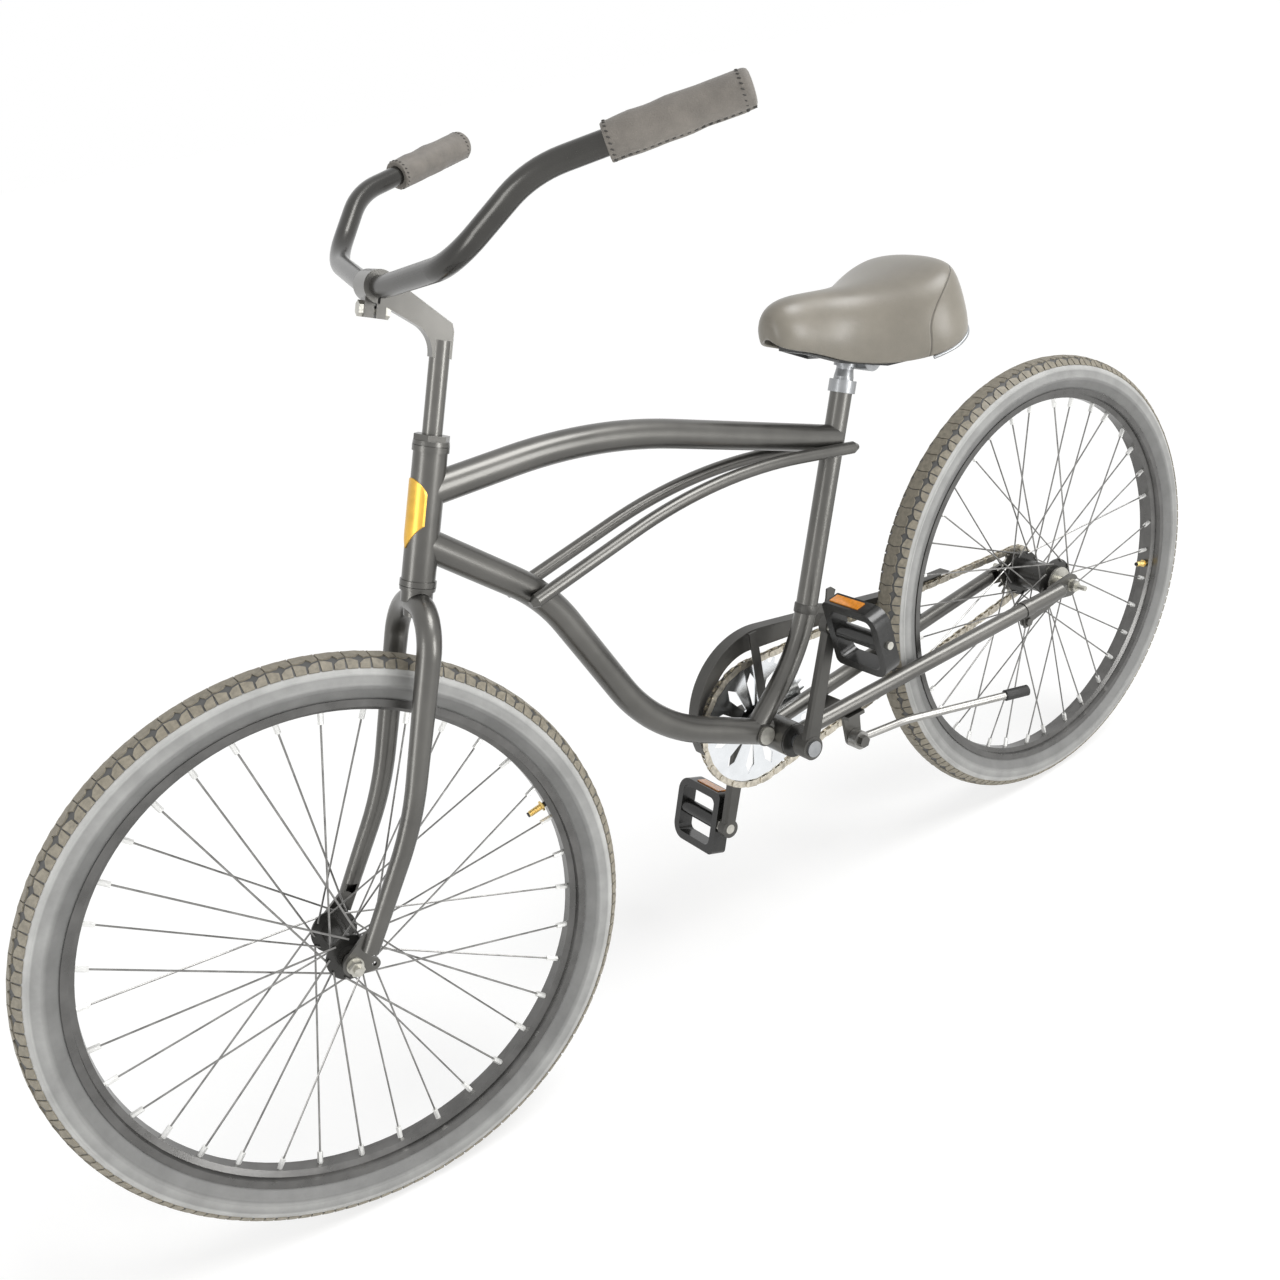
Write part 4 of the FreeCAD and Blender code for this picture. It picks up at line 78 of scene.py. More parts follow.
class CruiserSizes(bpy.types.PropertyGroup):
    """Sizes of the pieces that are dressed over the frame."""

    wheel_radius: length("Wheel radius", "From the axle to the top of the tread", 333.0)
    tyre_width: length("Tyre width", "Across the inflated casing", 53.0)
    tread_height: length("Tread height", "How far the blocks stand out of the casing", 1.5)
    casing_wall: length("Casing wall", "Thickness of the tyre's wall", 3.0)
    rim_inside: length("Rim inside", "Half the room between the rim's flanges", 17.0)
    bead_radius: length("Bead radius", "From the axle to the foot of the tyre's bead", 280.5)
    tread_pitches: IntProperty(name="Tread pitches", description="Repeats of the tread round the tyre",
                               default=76, min=12)
    nipple_stoutness: FloatProperty(name="Nipple stoutness",
                                    description="Size of the nipples against the frame's own",
                                    default=1.35, min=1.0, max=1.5)
    saddle_skin: length("Saddle skin", "Thickness of the padded cover's skirt", 5.0)
    saddle_trim: length("Saddle trim", "Radius of the bright bead round the back of the skirt", 2.3)
    grip_wall: length("Grip wall", "Thickness of the grip's sleeve", 5.4)
    stitch_step: length("Stitch step", "Distance from one stitch to the next", 6.2)
    thread: length("Thread", "Radius of the sewing thread", 0.75)


class CruiserColours(bpy.types.PropertyGroup):
    """Base colours of the finishes."""

    paint: colour("Frame paint", "Satin black of the tubes", 0.118, 0.115, 0.107)
    rim: colour("Rim paint", "Grey of the rims and, paler, of the spokes", 0.13, 0.128, 0.124)
    rubber: colour("Tyre rubber", "Worn and dusty rubber", 0.325, 0.325, 0.316)
    dust: colour("Tread dust", "Pale dust on the tread blocks", 0.24, 0.216, 0.168)
    vinyl: colour("Saddle vinyl", "Grey-brown of the saddle's cover", 0.222, 0.203, 0.168)
    leather: colour("Grip leather", "Grey-brown of the grips", 0.178, 0.162, 0.142)
    thread: colour("Thread", "Sewing thread", 0.05, 0.047, 0.043)
    steel: colour("Zinc steel", "Zinc-plated nuts and axles", 0.5, 0.49, 0.445)
    chrome: colour("Bright plating", "Chainring and, darker, the seat post", 0.8, 0.82, 0.84)
    chain: colour("Chain steel", "Oiled chain", 0.55, 0.51, 0.43)
    brass: colour("Brass", "Valve stems", 0.72, 0.53, 0.2)
    gold: colour("Badge gold", "Head badge", 0.74, 0.44, 0.075)
    resin: colour("Black resin", "Pedals, saddle pan, inner tubes and kickstand foot", 0.02, 0.02, 0.019)
    amber: colour("Amber lens", "Pedal reflectors", 0.85, 0.28, 0.01)
    alloy: colour("Silver alloy", "Kickstand leg", 0.32, 0.315, 0.3)
    nickel: colour("Nickel", "Spoke nipples", 0.86, 0.86, 0.84)
    floor: colour("Floor", "Pale studio floor", 0.9, 0.9, 0.89)


# Finishes

# Sockets of a mix node that mixes colours.
MIX_FACTOR, MIX_FIRST, MIX_SECOND, MIX_RESULT = 0, 6, 7, 2
# Noise keeps to the middle of 0..1: where patches reach their full shade, and where gloss reaches its ends.
PATCH_ENDS = (0.3, 0.72)
NOISE_ENDS = (0.25, 0.75)
# How far the gloss strays from its middle, and the depth of a fine texture.
GLOSS_STRAY = (0.85, 1.2)
TEXTURE_DEPTH = 0.6 * MM
COAT_ROUGHNESS = 0.18


def node(tree, kind, **values):
    """Adds a shader node with some of its settings or inputs set."""
    made = tree.nodes.new(kind)
    for name, value in values.items():
        if hasattr(made, name):
            setattr(made, name, value)
        else:
            made.inputs[name.replace("_", " ")].default_value = value
    return made


def new_finish(name):
    """Makes a material; gives its node tree, its principled shader and its object coordinates."""
    made = bpy.data.materials.new(f"cruiser_{name}")
    made.use_nodes = True
    tree = made.node_tree
    return tree, tree.nodes["Principled BSDF"], node(tree, "ShaderNodeTexCoord").outputs["Object"]


def finish_named(name):
    """The material that a finish was made as."""
    return bpy.data.materials[f"cruiser_{name}"]


def mottled(tree, place, base, scale, amount, detail=4.0):
    """The base colour, darker and paler in soft patches; gives the colour and the patches."""
    patches = node(tree, "ShaderNodeTexNoise", Scale=scale, Detail=detail, Roughness=0.6)
    tree.links.new(place, patches.inputs["Vector"])
    ramp = node(tree, "ShaderNodeValToRGB")
    for element, at, change in zip(ramp.color_ramp.elements, PATCH_ENDS, (-amount, amount)):
        element.position = at
        element.color = (*[min(value * (1 + change), 1) for value in base], 1)
    tree.links.new(patches.outputs["Fac"], ramp.inputs["Fac"])
    return ramp.outputs["Color"], patches.outputs["Fac"]


def mapped(tree, value, source, target=(0.0, 1.0), smooth=False):
    """Maps a value from one range to another and holds it at the ends."""
    made = node(tree, "ShaderNodeMapRange", interpolation_type="SMOOTHSTEP" if smooth else "LINEAR")
    for name, end in zip(("From Min", "From Max", "To Min", "To Max"), (*source, *target)):
        made.inputs[name].default_value = end
    tree.links.new(value, made.inputs["Value"])
    return made.outputs["Result"]


def relief(tree, height, strength, distance, below=None):
    """A bump from a height, on top of another bump where one is given."""
    made = node(tree, "ShaderNodeBump", Strength=strength, Distance=distance)
    tree.links.new(height, made.inputs["Height"])
    if below is not None:
        tree.links.new(below, made.inputs["Normal"])
    return made.outputs["Normal"]


def grain(tree, place, scale, detail=3.0):
    """Fine noise for a surface's texture."""
    made = node(tree, "ShaderNodeTexNoise", Scale=scale, Detail=detail)
    tree.links.new(place, made.inputs["Vector"])
    return made.outputs["Fac"]


def cells(tree, place, scale):
    """Small cells, as of grained leather."""
    made = node(tree, "ShaderNodeTexVoronoi", Scale=scale)
    tree.links.new(place, made.inputs["Vector"])
    return made.outputs["Distance"]


def maths(tree, operation, *values):
    """A math node over other nodes' values or plain numbers."""
    made = node(tree, "ShaderNodeMath", operation=operation)
    for socket, value in zip(made.inputs, values):
        if isinstance(value, (int, float)):
            socket.default_value = value
        else:
            tree.links.new(value, socket)
    return made.outputs["Value"]


def mixed(tree, factor, first, second, blend="MIX"):
    """Two colours mixed by a factor, which may be a plain number."""
    made = node(tree, "ShaderNodeMix", data_type="RGBA", blend_type=blend)
    for index, value in ((MIX_FACTOR, factor), (MIX_FIRST, first), (MIX_SECOND, second)):
        if isinstance(value, bpy.types.NodeSocket):
            tree.links.new(value, made.inputs[index])
        else:
            made.inputs[index].default_value = value
    return made.outputs[MIX_RESULT]


def hard_finish(name, colours, tint, rough, metallic, shade=1.0, mottle=(18.0, 0.12), texture=(900.0, 0.08),
                coat=0.0):
    """Paint, plating or resin: soft patches, uneven gloss and a fine surface texture."""
    tree, shader, place = new_finish(name)
    base = [value * shade for value in getattr(colours, tint)]
    patchy, patches = mottled(tree, place, base, *mottle)
    gloss = mapped(tree, patches, NOISE_ENDS, [rough * stray for stray in GLOSS_STRAY])
    scale, strength = texture
    tree.links.new(patchy, shader.inputs["Base Color"])
    tree.links.new(gloss, shader.inputs["Roughness"])
    tree.links.new(relief(tree, grain(tree, place, scale), strength, TEXTURE_DEPTH), shader.inputs["Normal"])
    shader.inputs["Metallic"].default_value = metallic
    shader.inputs["Coat Weight"].default_value = coat
    shader.inputs["Coat Roughness"].default_value = COAT_ROUGHNESS


# The casing's painted light from crown to bead (share of TILT_SPAN, level against the rubber's own colour):
# painted shade between the blocks, a painted highlight on the shoulders, painted shade below them.
TYRE_PAINTED_LIGHT = ((0.0, 0.25), (0.40, 0.25), (0.43, 1.4), (0.53, 1.25), (0.56, 0.85), (0.7, 0.95), (0.8, 0.55))


def rubber_finish(base, dust):
    """Tyre rubber: a painted highlight on the shoulders, painted shade below them and between the blocks, and
    dust on the blocks.
    """
    tree, shader, place = new_finish("tyre_rubber")
    shade, patches = mottled(tree, place, base, 26.0, 0.16)
    worn, _ = mottled(tree, place, dust, 160.0, 0.25)
    tilt = node(tree, "ShaderNodeAttribute", attribute_name="tilt").outputs["Fac"]
    # Painted light by tilt: painted shade between the blocks, a painted highlight on the shoulders, painted shade
    # below them.
    painted_light = node(tree, "ShaderNodeValToRGB")
    while len(painted_light.color_ramp.elements) < len(TYRE_PAINTED_LIGHT):
        painted_light.color_ramp.elements.new(0.5)
    for element, (at, level) in zip(painted_light.color_ramp.elements, TYRE_PAINTED_LIGHT):
        element.position = at
        element.color = (level / 2, level / 2, level / 2, 1.0)
    tree.links.new(tilt, painted_light.inputs["Fac"])
    # A ramp holds no level over 1, so it holds halves, which are added to themselves.
    levels = mixed(tree, 1.0, painted_light.outputs["Color"], painted_light.outputs["Color"], "ADD")
    # The rubber's mottled colour times the painted light and shade of the ramp.
    casing = mixed(tree, 1.0, shade, levels, "MULTIPLY")
    tread = node(tree, "ShaderNodeAttribute", attribute_name="tread").outputs["Fac"]
    tree.links.new(mixed(tree, tread, casing, worn), shader.inputs["Base Color"])
    tree.links.new(mapped(tree, patches, NOISE_ENDS, (0.46, 0.62)), shader.inputs["Roughness"])
    fine = relief(tree, grain(tree, place, 1400.0), 0.18, 0.5 * MM)
    tree.links.new(relief(tree, grain(tree, place, 260.0), 0.12, 1.0 * MM, fine), shader.inputs["Normal"])


# The saddle's seam stands at one place along X and, from a height on, swings back with the square of its climb.
SADDLE_SEAM_CLIMB = (14.29, -11.29)
SADDLE_SEAM_SWING = -0.075
SADDLE_SEAM_AT = -0.301
SADDLE_SEAM_GROOVE = (0.0, 2.2 * MM)
SADDLE_SEAM_LINE = (0.2 * MM, 0.7 * MM)
SADDLE_SEAM_SHADE = 0.42


def vinyl_finish(base):
    """Saddle vinyl: fine leather grain, and a sewn seam that turns back along the top edge."""
    tree, shader, place = new_finish("saddle_vinyl")
    shade, patches = mottled(tree, place, base, 22.0, 0.1)
    split = node(tree, "ShaderNodeSeparateXYZ")
    tree.links.new(place, split.inputs["Vector"])
    climb = maths(tree, "MULTIPLY_ADD", split.outputs["Z"], *SADDLE_SEAM_CLIMB)
    climb = maths(tree, "MAXIMUM", climb, 0.0)
    squared = maths(tree, "MULTIPLY", climb, climb)
    seam = maths(tree, "MULTIPLY_ADD", squared, SADDLE_SEAM_SWING, SADDLE_SEAM_AT)
    away = maths(tree, "ABSOLUTE", maths(tree, "SUBTRACT", split.outputs["X"], seam))
    groove = mapped(tree, away, SADDLE_SEAM_GROOVE, smooth=True)
    line = mapped(tree, away, SADDLE_SEAM_LINE, (SADDLE_SEAM_SHADE, 1.0), smooth=True)
    tree.links.new(mixed(tree, 1.0, shade, line, "MULTIPLY"), shader.inputs["Base Color"])
    tree.links.new(mapped(tree, patches, NOISE_ENDS, (0.3, 0.38)), shader.inputs["Roughness"])
    pebble = relief(tree, cells(tree, place, 900.0), 0.1, 0.6 * MM)
    creases = relief(tree, grain(tree, place, 320.0, 6.0), 0.08, 0.8 * MM, pebble)
    tree.links.new(relief(tree, groove, 0.9, 1.2 * MM, creases), shader.inputs["Normal"])
    shader.inputs["Sheen Weight"].default_value = 0.15


def leather_finish(base):
    """Grip leather: pebbled, slightly rubbed."""
    tree, shader, place = new_finish("grip_leather")
    shade, patches = mottled(tree, place, base, 55.0, 0.2, 6.0)
    tree.links.new(shade, shader.inputs["Base Color"])
    tree.links.new(mapped(tree, patches, NOISE_ENDS, (0.5, 0.64)), shader.inputs["Roughness"])
    pebble = relief(tree, cells(tree, place, 750.0), 0.3, 0.8 * MM)
    rubbed = relief(tree, grain(tree, place, 90.0, 5.0), 0.25, 1.5 * MM, pebble)
    tree.links.new(rubbed, shader.inputs["Normal"])
    shader.inputs["Sheen Weight"].default_value = 0.2


def lens_finish(base):
    """Amber reflector: a clear face over small prisms."""
    tree, shader, place = new_finish("amber_lens")
    shade, _ = mottled(tree, place, base, 260.0, 0.25)
    tree.links.new(shade, shader.inputs["Base Color"])
    tree.links.new(relief(tree, cells(tree, place, 420.0), 0.35, 0.8 * MM), shader.inputs["Normal"])
    shader.inputs["Roughness"].default_value = 0.16
    shader.inputs["Coat Weight"].default_value = 0.8
    shader.inputs["Coat Roughness"].default_value = 0.05


# Hard finishes. mottle: scale and strength of the patches; texture: scale and strength of the fine bump.
HARD_FINISHES = {
    "frame_paint": dict(tint="paint", rough=0.35, metallic=0.88, mottle=(9.0, 0.18), texture=(700.0, 0.006),
                        coat=0.3),
    # The stem's paint is the frame's paint, a little glossier, made paler as a painted highlight for the light
    # its flat faces mirror.
    "stem_paint": dict(tint="paint", shade=1.25, rough=0.3, metallic=0.88, mottle=(9.0, 0.18),
                       texture=(700.0, 0.006), coat=0.3),
    # The bar's paint is the frame's paint with sharper gloss, made darker as painted shade for the darker
    # surroundings it mirrors.
    "bar_paint": dict(tint="paint", shade=0.5, rough=0.26, metallic=0.88, mottle=(9.0, 0.18),
                      texture=(700.0, 0.003), coat=0.3),
    "guard_paint": dict(tint="paint", shade=0.7, rough=0.42, metallic=0.6, mottle=(14.0, 0.2),
                        texture=(600.0, 0.1)),
    "hub_paint": dict(tint="paint", shade=0.36, rough=0.28, metallic=0.5, mottle=(30.0, 0.2),
                      texture=(500.0, 0.06), coat=0.2),
    "rim_paint": dict(tint="rim", rough=0.28, metallic=0.85, mottle=(30.0, 0.2), texture=(500.0, 0.06), coat=0.1),
    "badge_gold": dict(tint="gold", rough=0.32, metallic=0.75, mottle=(60.0, 0.12), texture=(420.0, 0.12)),
    "bright_plating": dict(tint="chrome", rough=0.14, metallic=1.0, mottle=(40.0, 0.06), texture=(800.0, 0.04)),
    "post_plating": dict(tint="chrome", shade=0.42, rough=0.38, metallic=0.9, mottle=(50.0, 0.15)),
    "zinc_steel": dict(tint="steel", rough=0.34, metallic=0.9, mottle=(120.0, 0.15), texture=(900.0, 0.15)),
    "chain_steel": dict(tint="chain", rough=0.3, metallic=0.9, mottle=(140.0, 0.35), texture=(700.0, 0.1)),
    "silver_alloy": dict(tint="alloy", rough=0.36, metallic=0.85, mottle=(60.0, 0.1), texture=(1100.0, 0.1)),
    "nipple_nickel": dict(tint="nickel", rough=0.35, metallic=0.5, mottle=(200.0, 0.05)),
    "spoke_steel": dict(tint="rim", shade=1.9, rough=0.3, metallic=0.8, mottle=(80.0, 0.3)),
    "tube_rubber": dict(tint="resin", rough=0.6, metallic=0.0, mottle=(40.0, 0.2), texture=(900.0, 0.15)),
    "black_resin": dict(tint="resin", rough=0.22, metallic=0.0, mottle=(50.0, 0.25), texture=(450.0, 0.15)),
    "valve_brass": dict(tint="brass", rough=0.3, metallic=0.9, mottle=(150.0, 0.15)),
    "stitch_thread": dict(tint="thread", rough=0.7, metallic=0.0, mottle=(300.0, 0.25), texture=(2400.0, 0.3)),
}
NODE_FINISHES = {
    "frame_paint": ["bottom_bracket_shell", "chainstay_left", "chainstay_right", "coaster_brake_arm",
                    "down_tube", "fork", "head_tube", "kickstand_bracket", "seat_tube", "tank_bars", "top_tube",
                    "headset_cups", "headset_races"],
    # The stem and the bar wear paler and darker copies of the frame paint: painted light and painted shade.
    "stem_paint": ["stem"],
    "bar_paint": ["handlebar"],
    "guard_paint": ["chain_guard", "crank_arm_left", "crank_arm_right"],
    "rim_paint": ["front_rim", "rear_rim"],
    "hub_paint": ["front_hub_shell", "rear_hub_shell", "coaster_driver", "coaster_brake_shoes",
                  "bottom_bracket_cups"],
    "badge_gold": ["head_badge"],
    "bright_plating": ["chainring"],
    "post_plating": ["seat_post", "crank_spindle", "saddle_rails", "saddle_clamp", "seat_clamp"],
    "zinc_steel": ["front_axle", "front_axle_nuts", "rear_axle", "rear_axle_nuts", "stem_bolts",
                   "headset_bearings", "pedal_spindles", "rear_sprocket", "shell_plug"],
    "chain_steel": ["chain"],
    "silver_alloy": ["kickstand_leg"],
    "nipple_nickel": ["front_nipples", "rear_nipples"],
    "spoke_steel": ["front_spokes", "rear_spokes"],
    "tube_rubber": ["front_inner_tube", "rear_inner_tube", "kickstand_foot"],
    "black_resin": ["pedal_left", "pedal_right", "saddle_base"],
    "amber_lens": ["pedal_left_reflectors", "pedal_right_reflectors"],
    "tyre_rubber": ["front_tyre", "rear_tyre"],
    "grip_leather": ["grip_left", "grip_right"],
    "saddle_vinyl": ["saddle_cover"],
}


class CRUISER_OT_finishes(bpy.types.Operator):
    """Makes every finish and gives each piece of the frame its own"""

    bl_idname = "cruiser.finishes"
    bl_label = "Apply Finishes"

    def execute(self, context):
        colours = context.scene.cruiser_colours
        for name, look in HARD_FINISHES.items():
            hard_finish(name, colours, **look)
        rubber_finish(colours.rubber, colours.dust)
        vinyl_finish(colours.vinyl)
        leather_finish(colours.leather)
        lens_finish(colours.amber)
        for finish, nodes in NODE_FINISHES.items():
            for name in nodes:
                for slot in frame["nodes"][name].material_slots:
                    slot.material = finish_named(finish)
        return {"FINISHED"}


# Pieces

def finish_piece(shape, name, body, finish, sharp=35.0):
    """Makes a piece of a finished bmesh, with its finish, riding on its body."""
    mesh = bpy.data.meshes.new(name)
    shape.to_mesh(mesh)
    shape.free()
    mesh.shade_smooth()
    mesh.set_sharp_from_angle(angle=math.radians(sharp))
    mesh.materials.append(finish_named(finish))
    piece = bpy.data.objects.new(name, mesh)
    bpy.context.scene.collection.objects.link(piece)
    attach(piece, body)
    return piece


def wheel_place(end):
    """A wheel's own frame in the bicycle's: Y along its axle, Z upwards, the origin at its middle."""
    spin = JOINTS[f"{end}_wheel_spin"]
    axle = Vector(spin["axis"]).normalized()
    forward = axle.cross(Vector(WHEEL_UPS[end])).normalized()
    turn = Matrix((forward, axle, forward.cross(axle))).transposed().to_4x4()
    return Matrix.Translation(spin["pos_m"]) @ turn


def in_metres(outline):
    """An outline given in millimetres."""
    return [(first * MM, second * MM) for first, second in outline]


def turned_body(shape, outline, axis, steps):
    """Spins a closed outline of (radius, along) points round an axis of the piece's own frame."""
    along = Vector(axis)
    out = Vector((0, 0, 1)) if abs(along.z) < 0.5 else Vector((1, 0, 0))
    verts = [shape.verts.new(out * radius + along * at) for radius, at in outline]
    edges = [shape.edges.new(pair) for pair in zip(verts, verts[1:] + verts[:1])]
    bmesh.ops.spin(shape, geom=verts + edges, cent=(0, 0, 0), axis=along, dvec=(0, 0, 0), angle=math.tau,
                   steps=steps, use_merge=True, use_normal_flip=False, use_duplicate=False)
    bmesh.ops.remove_doubles(shape, verts=shape.verts[:], dist=WELD)
    bmesh.ops.recalc_face_normals(shape, faces=shape.faces[:])


def raise_faces(shape, faces, lift):
    """Extrudes faces along a vector and gives the vertices of their far side."""
    grown = bmesh.ops.extrude_face_region(shape, geom=faces)
    raised = [item for item in grown["geom"] if isinstance(item, bmesh.types.BMVert)]
    bmesh.ops.translate(shape, verts=raised, vec=lift)
    return raised


# The tyre's section: degrees from one point of the outside or inside to the next, and points on each side.
CASING_STEP, CASING_STEPS = 2.5, 47
LINER_STEP, LINER_STEPS = 10.0, 11
# Ribs on the side: degrees from the crown, width in degrees and height.
SIDE_RIBS = ((71.0, 2.2, 0.7 * MM), (99.0, 2.5, 0.6 * MM), (108.0, 2.5, 0.4 * MM))
# The bead in millimetres, outwards from its foot and sideways from the rim's flange.
BEAD_STEPS = ((10.5, 3.2), (7.2, 0.8), (5.5, 0.0), (0.0, 0.0), (-0.8, -1.8), (0.0, -3.6), (8.0, -2.6))
TYRE_FACETS = 144
# Degrees from the crown that count as 1 in the tilt attribute, and that the tread covers on each side.
TILT_SPAN = 135.0
TREAD_SPAN = 57.0
# One repeat of the tread as shares of the pitch along it and of the tread's half arc across it.
CENTRE_BLOCK_SHARES = ((0.0, -0.4), (0.07, 0.0), (0.0, 0.4), (0.28, 0.5), (0.44, 0.28), (0.56, 0.42),
                       (0.84, 0.46), (0.985, 0.4), (1.055, 0.0), (0.985, -0.4), (0.84, -0.46), (0.56, -0.42),
                       (0.44, -0.28), (0.28, -0.5))
EDGE_BLOCK_SHARES = (((0.02, 0.53), (0.27, 0.59), (0.46, 0.76), (0.47, 1.0), (0.05, 1.0)),
                     ((0.985, 0.5), (0.96, 1.0), (0.54, 1.0), (0.52, 0.66), (0.76, 0.54)))
# How far a block's foot is under the casing, as a share of its height, and how its top is drawn in.
BLOCK_ROOT = 0.4
BLOCK_TAPER = (0.96, 0.94, 1.0)


def tread_block(shape, outline, pitch, arc, height, flip):
    """One raised block, flat, with its foot just under the casing."""
    points = [Vector((share * pitch, across * arc * flip, -height * BLOCK_ROOT)) for share, across in outline]
    face = shape.faces.new([shape.verts.new(point) for point in points])
    top = raise_faces(shape, [face], (0, 0, height * (1 + BLOCK_ROOT)))
    middle = sum((vert.co for vert in top), Vector()) / len(top)
    bmesh.ops.scale(shape, verts=top, vec=BLOCK_TAPER, space=Matrix.Translation(-middle))


def tread_ring(sizes, ring, casing):
    """A mesh of all the tread blocks, made flat for one pitch, wrapped on the casing and spun round."""
    blocks = bmesh.new()
    mark = blocks.verts.layers.float.new("tread")
    repeats = sizes.tread_pitches
    pitch = sizes.wheel_radius * math.tau / repeats
    arc = casing * math.radians(TREAD_SPAN)
    tread_block(blocks, CENTRE_BLOCK_SHARES, pitch, arc, sizes.tread_height, 1)
    for flip in (1, -1):
        for outline in EDGE_BLOCK_SHARES:
            tread_block(blocks, outline, pitch, arc, sizes.tread_height, flip)
    for vert in blocks.verts:
        vert[mark] = 1.0
        around = vert.co.x / sizes.wheel_radius
        tilt = vert.co.y / casing
        out = ring + (casing + vert.co.z) * math.cos(tilt)
        vert.co = (out * math.sin(around), (casing + vert.co.z) * math.sin(tilt), out * math.cos(around))
    bmesh.ops.recalc_face_normals(blocks, faces=blocks.faces[:])
    bmesh.ops.spin(blocks, geom=blocks.verts[:] + blocks.edges[:] + blocks.faces[:], cent=(0, 0, 0),
                   axis=(0, 1, 0), dvec=(0, 0, 0), angle=math.tau * (repeats - 1) / repeats, steps=repeats - 1,
                   use_duplicate=True, use_merge=False, use_normal_flip=False)
    mesh = bpy.data.meshes.new("tread_blocks")
    blocks.to_mesh(mesh)
    blocks.free()
    return mesh


def casing_outline(sizes, ring, casing):
    """The casing's closed section as (radius, along): the outside, a bead, the inside and the other bead."""
    outline = []
    for step in range(-CASING_STEPS, CASING_STEPS + 1):
        angle = step * CASING_STEP
        rib = sum(high * math.exp(-((abs(angle) - at) / wide) ** 2) for at, wide, high in SIDE_RIBS)
        turn = math.radians(angle)
        outline.append((ring + (casing + rib) * math.cos(turn), (casing + rib) * math.sin(turn)))
    bead = [(sizes.bead_radius + out * MM, sizes.rim_inside + side * MM) for out, side in BEAD_STEPS]
    outline += bead
    inside = casing - sizes.casing_wall
    for step in range(LINER_STEPS, -LINER_STEPS - 1, -1):
        turn = math.radians(step * LINER_STEP)
        outline.append((ring + inside * math.cos(turn), inside * math.sin(turn)))
    return outline + [(radius, -side) for radius, side in reversed(bead)]


def tyre_shape(sizes):
    """A casing with its beads, side ribs and tread blocks, in the wheel's own frame."""
    section = sizes.tyre_width / 2
    ring = sizes.wheel_radius - section
    casing = section - sizes.tread_height
    shape = bmesh.new()
    turned_body(shape, casing_outline(sizes, ring, casing), (0, 1, 0), TYRE_FACETS)
    shape.verts.layers.float.new("tread")
    lean = shape.verts.layers.float.new("tilt")
    for vert in shape.verts:
        tilt = math.degrees(math.atan2(vert.co.y, math.hypot(vert.co.x, vert.co.z) - ring))
        vert[lean] = abs(tilt) / TILT_SPAN
    blocks = tread_ring(sizes, ring, casing)
    shape.from_mesh(blocks)
    bpy.data.meshes.remove(blocks)
    return shape


class CRUISER_OT_tyres(bpy.types.Operator):
    """Makes both tyres with their tread blocks"""

    bl_idname = "cruiser.tyres"
    bl_label = "Add Tyres"

    def execute(self, context):
        for end in WHEEL_UPS:
            shape = tyre_shape(context.scene.cruiser_sizes)
            shape.transform(wheel_place(end))
            piece = finish_piece(shape, f"{end}_tyre_treaded", f"{end}_wheel", "tyre_rubber", 30.0)
            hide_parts(f"{end}_tyre")
        return {"FINISHED"}


class CRUISER_OT_nipples(bpy.types.Operator):
    """Makes the bright nipples a little stouter than the frame's own"""

    bl_idname = "cruiser.nipples"
    bl_label = "Add Nipples"

    def execute(self, context):
        stout = context.scene.cruiser_sizes.nipple_stoutness
        for end in WHEEL_UPS:
            shape = bmesh.new()
            shape.from_mesh(frame["nodes"][f"{end}_nipples"].data)
            bmesh.ops.remove_doubles(shape, verts=shape.verts[:], dist=WELD)
            left = set(shape.verts)
            while left:
                nipple = [left.pop()]
                for vert in nipple:
                    for edge in vert.link_edges:
                        other = edge.other_vert(vert)
                        if other in left:
                            left.remove(other)
                            nipple.append(other)
                middle = sum((vert.co for vert in nipple), Vector()) / len(nipple)
                bmesh.ops.scale(shape, verts=nipple, vec=(stout, stout, stout),
                                space=Matrix.Translation(-middle))
            piece = finish_piece(shape, f"{end}_nipples_bright", f"{end}_wheel", "nipple_nickel")
            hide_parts(f"{end}_nipples")
        return {"FINISHED"}


# The saddle from its nose back: share of the length, then half width, crown and underside as shares of the
# width and the depth, and how far its section has gone from the nose's to the back's.
SADDLE_SHARES = (
    (0.0, 0.07, 0.72, 0.57, 0.0),
    (0.012, 0.17, 0.82, 0.51, 0.0),
    (0.05, 0.262, 0.915, 0.45, 0.0),
    (0.13, 0.315, 0.96, 0.38, 0.0),
    (0.23, 0.33, 0.945, 0.28, 0.0),
    (0.34, 0.375, 0.915, 0.14, 0.08),
    (0.46, 0.515, 0.885, 0.04, 0.1),
    (0.58, 0.735, 0.885, 0.0, 0.25),
    (0.70, 0.92, 0.92, 0.01, 0.5),
    (0.80, 0.985, 0.96, 0.05, 0.75),
    (0.89, 0.95, 0.99, 0.13, 0.95),
    (0.95, 0.83, 0.985, 0.2, 1.0),
    (0.985, 0.68, 0.91, 0.24, 0.8),
    (1.0, 0.5, 0.74, 0.26, 0.5),
)
# Half a section from the middle of its top to its foot, across and up, at the nose and at the back.
NOSE_SHARES = ((0.0, 1.0), (0.22, 0.985), (0.42, 0.94), (0.6, 0.86), (0.75, 0.76), (0.88, 0.63), (0.96, 0.5),
               (1.0, 0.36), (0.98, 0.18), (0.9, 0.05), (0.82, 0.0))
BACK_SHARES = ((0.0, 1.0), (0.24, 0.995), (0.46, 0.97), (0.62, 0.935), (0.74, 0.88), (0.82, 0.79),
               (0.885, 0.65), (0.94, 0.45), (0.98, 0.24), (0.99, 0.06), (0.965, 0.0))
# Share of the saddle's length from which the bead runs under its skirt.
SADDLE_BEAD_FROM = 0.6


